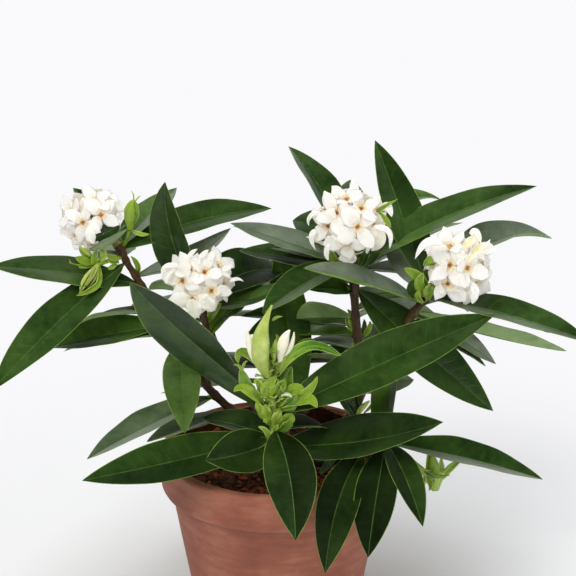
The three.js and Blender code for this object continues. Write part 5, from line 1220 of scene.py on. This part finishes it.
BM = ["fresh", "young_mid", "young", "young_pale", "young_under", "young_rim", "cream", "under", "leaf_b", "margin", "midrib", "tip_olive", "petal_warm", "leaf_c", "petal", "petal_tan", "petal_back", "petal_yellow", "leaf_a", "leaf_h", "bud_skin"]
KINDS = {  # top, margin, midrib, underside
    "lime": ("young", "young_rim", "young", "young_under"),
    "pale": ("young_pale", "young_rim", "young_pale", "young_pale"),
    "mid": ("young_mid", "young_rim", "young", "young_under"),
    "turning": ("young", "young_rim", "young_pale", "young_under", "young_mid", "fresh"),
    "dark": ("leaf_a", "margin", "midrib", "under"),
    # sheen takes leaf_h, painted sheen
    "sheen": ("leaf_h", "margin", "margin", "under"),
    "tip": ("tip_olive", "tip_olive", "tip_olive", "tip_olive"),
    "bud": ("bud_skin", "bud_skin", "bud_skin", "bud_skin"),
    "cream": ("cream", "cream", "cream", "cream"),
    "green": ("leaf_c", "margin", "midrib", "under"),
    "olive": ("tip_olive", "young_rim", "young_pale", "young_under"),
    "white": ("young_pale", "cream", "cream", "cream"),
    "petal": ("petal", "petal", "petal_warm", "petal_back"),
    "tan": ("petal_yellow", "petal", "petal_yellow", "petal_warm"),
    "soft": ("petal_warm", "petal", "petal_warm", "petal_warm"),
}

def buds_and_bracts():
    ix = {k: i for i, k in enumerate(BM)}
    mats = [M[k] for k in BM]
    groups = {}
    for g, kind, width, face, fold, curl, peak, pts in BRACTS:
        b = groups.setdefault(g, Build())
        ribbon(b, pts, width, face, fold, tuple(ix[k] for k in KINDS[kind]), f"{g}{len(b.v)}", curl=curl, peak=peak)
    for g, kind, pts, radii, squash in SPINDLES:
        b = groups.setdefault(g, Build())
        P = curve3(pts, 22)
        s = np.linspace(0, 1, 22)
        r = np.interp(s, np.linspace(0, 1, len(radii)), radii)
        r = np.convolve(np.pad(r, 1, mode="edge"), [0.25, 0.5, 0.25], mode="valid")
        top, rim, mid, low = (ix[k] for k in KINDS[kind])
        T, S, U = frames_along(P)
        a = np.linspace(0, 2 * math.pi, 20, endpoint=False)
        seam = 1 + 0.05 * np.cos(2 * a)[None] - 0.10 * np.exp(-((np.abs(((a + 1.1 * s[:, None]) % 3.1416) - 1.57)) / 0.16) ** 2)
        V = P[:, None] + (r[:, None] * seam)[..., None] * (np.cos(a)[None, :, None] * S[:, None] + squash * np.sin(a)[None, :, None] * U[:, None])
        base = b.n
        b.grid(V, lambda i, j: (top if i > 5 else mid), np.stack([np.zeros((22, 20)), np.repeat(s[:, None], 20, 1)], -1), closed=True, flip=True)
        for row, turn in ((0, 1), (21, -1)):
            o = base + row * 20
            b.v.append(V[row].mean(0)[None]); b.uv.append(np.zeros((1, 2)))
            ci = b.n; b.n += 1
            for j in range(20):
                fc = (ci, o + j, o + (j + 1) % 20)
                b.f.append(fc if turn > 0 else fc[::-1]); b.m.append(top)
    # scale leaves crowd round the stem of the front shoot
    b = groups.setdefault("front", Build())
    line = LINES["E"]
    total = float(line[1][-1])
    rnd = rng_for("scales")
    for k in range(26):
        s = total - 37.0 + 1.15 * k
        q, tang = point_at(line, s), way_at(line, s)
        e1, e2 = basis(tang, 0.0)
        ang = rad(137.5 * k + rnd.normal(0, 10))
        out = math.cos(ang) * e1 + math.sin(ang) * e2
        ln = rnd.uniform(5.0, 8.5)
        lean = rad(rnd.uniform(22, 55))
        d1 = math.cos(lean) * tang + math.sin(lean) * out
        d2 = math.cos(lean + 0.7) * tang + math.sin(lean + 0.7) * out
        kind = ["lime", "pale", "bud", "lime", "bud"][rnd.integers(5)]
        ribbon(b, [q + out * 1.5, q + out * 1.5 + d1 * ln * 0.6, q + out * 1.5 + d1 * ln * 0.6 + d2 * ln * 0.4], ln * rnd.uniform(0.5, 0.75), tang - out * 0.6,
               rnd.uniform(14, 30), tuple(ix[w] for w in KINDS[kind]), f"scale{k}", n=12, cols=4, curl=0.3, ripple=0.08)
    # the leafy collar under each head and the resting buds in the leaf axils grow by a seeded rule
    small = groups.setdefault("small", Build())
    for key, bough in BOUGHS.items():
        line = LINES[key]
        rnd = rng_for("collar", key)
        end, tang = point_at(line, 1e9), way_at(line, line[1][-1], 5.0)
        e1, e2 = basis(tang, rnd.uniform(0, 90))
        count = 9 if key in HEADS else 7
        for k in range(count):
            ang = rad(137.5 * k + rnd.normal(0, 8))
            out = math.cos(ang) * e1 + math.sin(ang) * e2
            root = end - tang * (6.0 - 0.55 * k) + out * 1.6
            ln = rnd.uniform(7, 12)
            lean = rad(rnd.uniform(38, 66) if key in HEADS else rnd.uniform(20, 60))
            d1 = math.cos(lean) * tang + math.sin(lean) * out
            d2 = math.cos(lean + 0.45) * tang + math.sin(lean + 0.45) * out
            pts = [root, root + d1 * ln * 0.55, root + d1 * ln * 0.55 + d2 * ln * 0.45]
            kind = "lime" if rnd.random() < 0.7 else "green"
            ribbon(small, pts, ln * rnd.uniform(0.3, 0.4), tang - out * 0.4, 16, tuple(ix[q] for q in KINDS[kind]), f"c{key}{k}", n=12, cols=3)
        for row in bough["leaves"]:
            if rnd.random() > 0.45: continue
            q = point_at(line, row[0]); t2 = way_at(line, row[0])
            way = heading(row[1], row[2])
            radial = unit(way - t2 * (way @ t2))
            r = 2.9
            a0 = q + radial * r * 0.8 + t2 * 1.4
            d = unit(radial * 0.8 + t2)
            ln = rnd.uniform(2.6, 4.6)
            lathe(small, [a0, a0 + d * ln * 0.3, a0 + d * ln * 0.7, a0 + d * ln], [0.7, 1.15, 0.85, 0.12], 8, ix["young"])
    names = {"petals": ("petals_long", []), "front": ("shoot_front", ["bud_front"]), "front_right": ("shoot_front_right", ["bud_front_right"]), "small": ("bracts_small", [])}
    for g, b in groups.items():
        name, reps = names.get(g, ("bracts_" + g, []))
        ob = b.make(name, mats, reps, "blossom" if g == "petals" else "young_shoot")
        bm_weld(ob, 1e-5)

# ---------------------------------------------------------------- floor, light, world
def stage():
    b = Build()
    n = 24
    R = 9000.0
    a = np.linspace(0, 2 * math.pi, 96, endpoint=False)
    r = np.linspace(0, 1, n)[1:] ** 2 * R
    V = np.stack([r[:, None] * np.cos(a), r[:, None] * np.sin(a), np.full((n - 1, 96), -0.05)], -1)
    b.grid(V, 0, None, closed=True, flip=True)
    b.v.append(np.array([[0, 0, -0.05]])); b.uv.append(np.zeros((1, 2))); c = b.n; b.n += 1
    for j in range(96):
        b.f.append((c, j, (j + 1) % 96)); b.m.append(0)
    m, nt, s = tree("floor_white")
    nz = noise_of(nt, 3.0, 2.0)
    nt.links.new(ramp(nt, nz, [(0.3, (0.86, 0.865, 0.88)), (0.7, (0.9, 0.905, 0.915))]), s.inputs["Base Color"])
    # away from the plant the paper runs evenly into the backdrop
    glow = nt.nodes.new("ShaderNodeEmission")
    glow.inputs["Color"].default_value = (0.952, 0.95, 0.975, 1)
    tc = nt.nodes.new("ShaderNodeTexCoord")
    ln = nt.nodes.new("ShaderNodeVectorMath"); ln.operation = "LENGTH"
    nt.links.new(tc.outputs["Object"], ln.inputs[0])
    lp = nt.nodes.new("ShaderNodeLightPath")
    far = nt.nodes.new("ShaderNodeMapRange"); far.interpolation_type = "SMOOTHSTEP"
    far.inputs["From Min"].default_value = 0.04; far.inputs["From Max"].default_value = 0.50
    nt.links.new(ln.outputs["Value"], far.inputs["Value"])
    mx = nt.nodes.new("ShaderNodeMixShader")
    nt.links.new(math_node(nt, "MULTIPLY", far.outputs[0], lp.outputs["Is Camera Ray"]), mx.inputs[0])
    nt.links.new(s.outputs[0], mx.inputs[1]); nt.links.new(glow.outputs[0], mx.inputs[2])
    nt.links.new(mx.outputs[0], nt.nodes["Material Output"].inputs["Surface"])
    s.inputs["Roughness"].default_value = 0.9
    s.inputs["Specular IOR Level"].default_value = 0.1
    verts = np.vstack(b.v) * MM
    me = bpy.data.meshes.new("floor"); me.from_pydata(verts.tolist(), [], b.f); me.update()
    me.materials.append(m)
    ob = bpy.data.objects.new("floor", me)
    bpy.context.scene.collection.objects.link(ob)

def area(name, loc, aim, size, power, colour=(1, 1, 1), size_y=None):
    l = bpy.data.lights.new(name, "AREA")
    l.energy = power; l.color = colour
    l.shape = "RECTANGLE"; l.size = size; l.size_y = size_y or size
    ob = bpy.data.objects.new(name, l)
    bpy.context.scene.collection.objects.link(ob)
    ob.location = loc
    ob.rotation_euler = (Vector(aim) - Vector(loc)).to_track_quat("-Z", "Y").to_euler()
    return ob

def lights():
    aim = (0.0, 0.0, 0.17)
    area("key", (-0.9, -1.5, 1.9), aim, 1.3, 44.0, (1.0, 0.99, 0.97))
    area("top", (0.1, 0.5, 2.0), aim, 1.3, 20.0)
    area("fill", (1.6, -0.9, 0.9), aim, 1.0, 14.0, (0.98, 0.99, 1.0))
    for ob in bpy.context.scene.objects:
        if ob.type == "LIGHT":
            ob.visible_glossy = False
    w = bpy.data.worlds.new("world")
    bpy.context.scene.world = w
    w.use_nodes = True
    nt = w.node_tree
    bg = nt.nodes["Background"]
    tc = nt.nodes.new("ShaderNodeTexCoord")
    sep = nt.nodes.new("ShaderNodeSeparateXYZ")
    nt.links.new(tc.outputs["Generated"], sep.inputs[0])
    # a bright wall behind, a dim room in front and above
    back = ramp(nt, math_node(nt, "MULTIPLY_ADD", sep.outputs[1], 0.5, 0.5), [(0.0, (0.07, 0.07, 0.07)), (0.55, (0.12, 0.12, 0.12)), (0.8, (0.55, 0.56, 0.57)), (1.0, (0.9, 0.91, 0.93))])
    high = ramp(nt, sep.outputs[2], [(0.45, (1, 1, 1)), (0.8, (0.25, 0.25, 0.25))])
    mul = nt.nodes.new("ShaderNodeMix"); mul.data_type = "RGBA"; mul.blend_type = "MULTIPLY"
    mul.inputs[0].default_value = 1.0
    nt.links.new(back, mul.inputs[6]); nt.links.new(high, mul.inputs[7])
    nt.links.new(mul.outputs[2], bg.inputs["Color"])
    bg.inputs["Strength"].default_value = 0.9
    # the paper backdrop as the lens sees it
    paper = nt.nodes.new("ShaderNodeBackground")
    paper.inputs["Color"].default_value = (0.955, 0.955, 0.978, 1)
    lp = nt.nodes.new("ShaderNodeLightPath")
    mix = nt.nodes.new("ShaderNodeMixShader")
    nt.links.new(lp.outputs["Is Camera Ray"], mix.inputs[0])
    nt.links.new(bg.outputs[0], mix.inputs[1]); nt.links.new(paper.outputs[0], mix.inputs[2])
    nt.links.new(mix.outputs[0], nt.nodes["World Output"].inputs["Surface"])
    sc = bpy.context.scene
    sc.view_settings.view_transform = "Standard"
    sc.view_settings.look = "None"
    sc.view_settings.exposure = 0.0
    sc.view_settings.gamma = 1.0

# ---------------------------------------------------------------- make everything
materials()
bark_materials()
stage()
lights()
pot_and_soil()
stems()
leaves()
blossom()
buds_and_bracts()
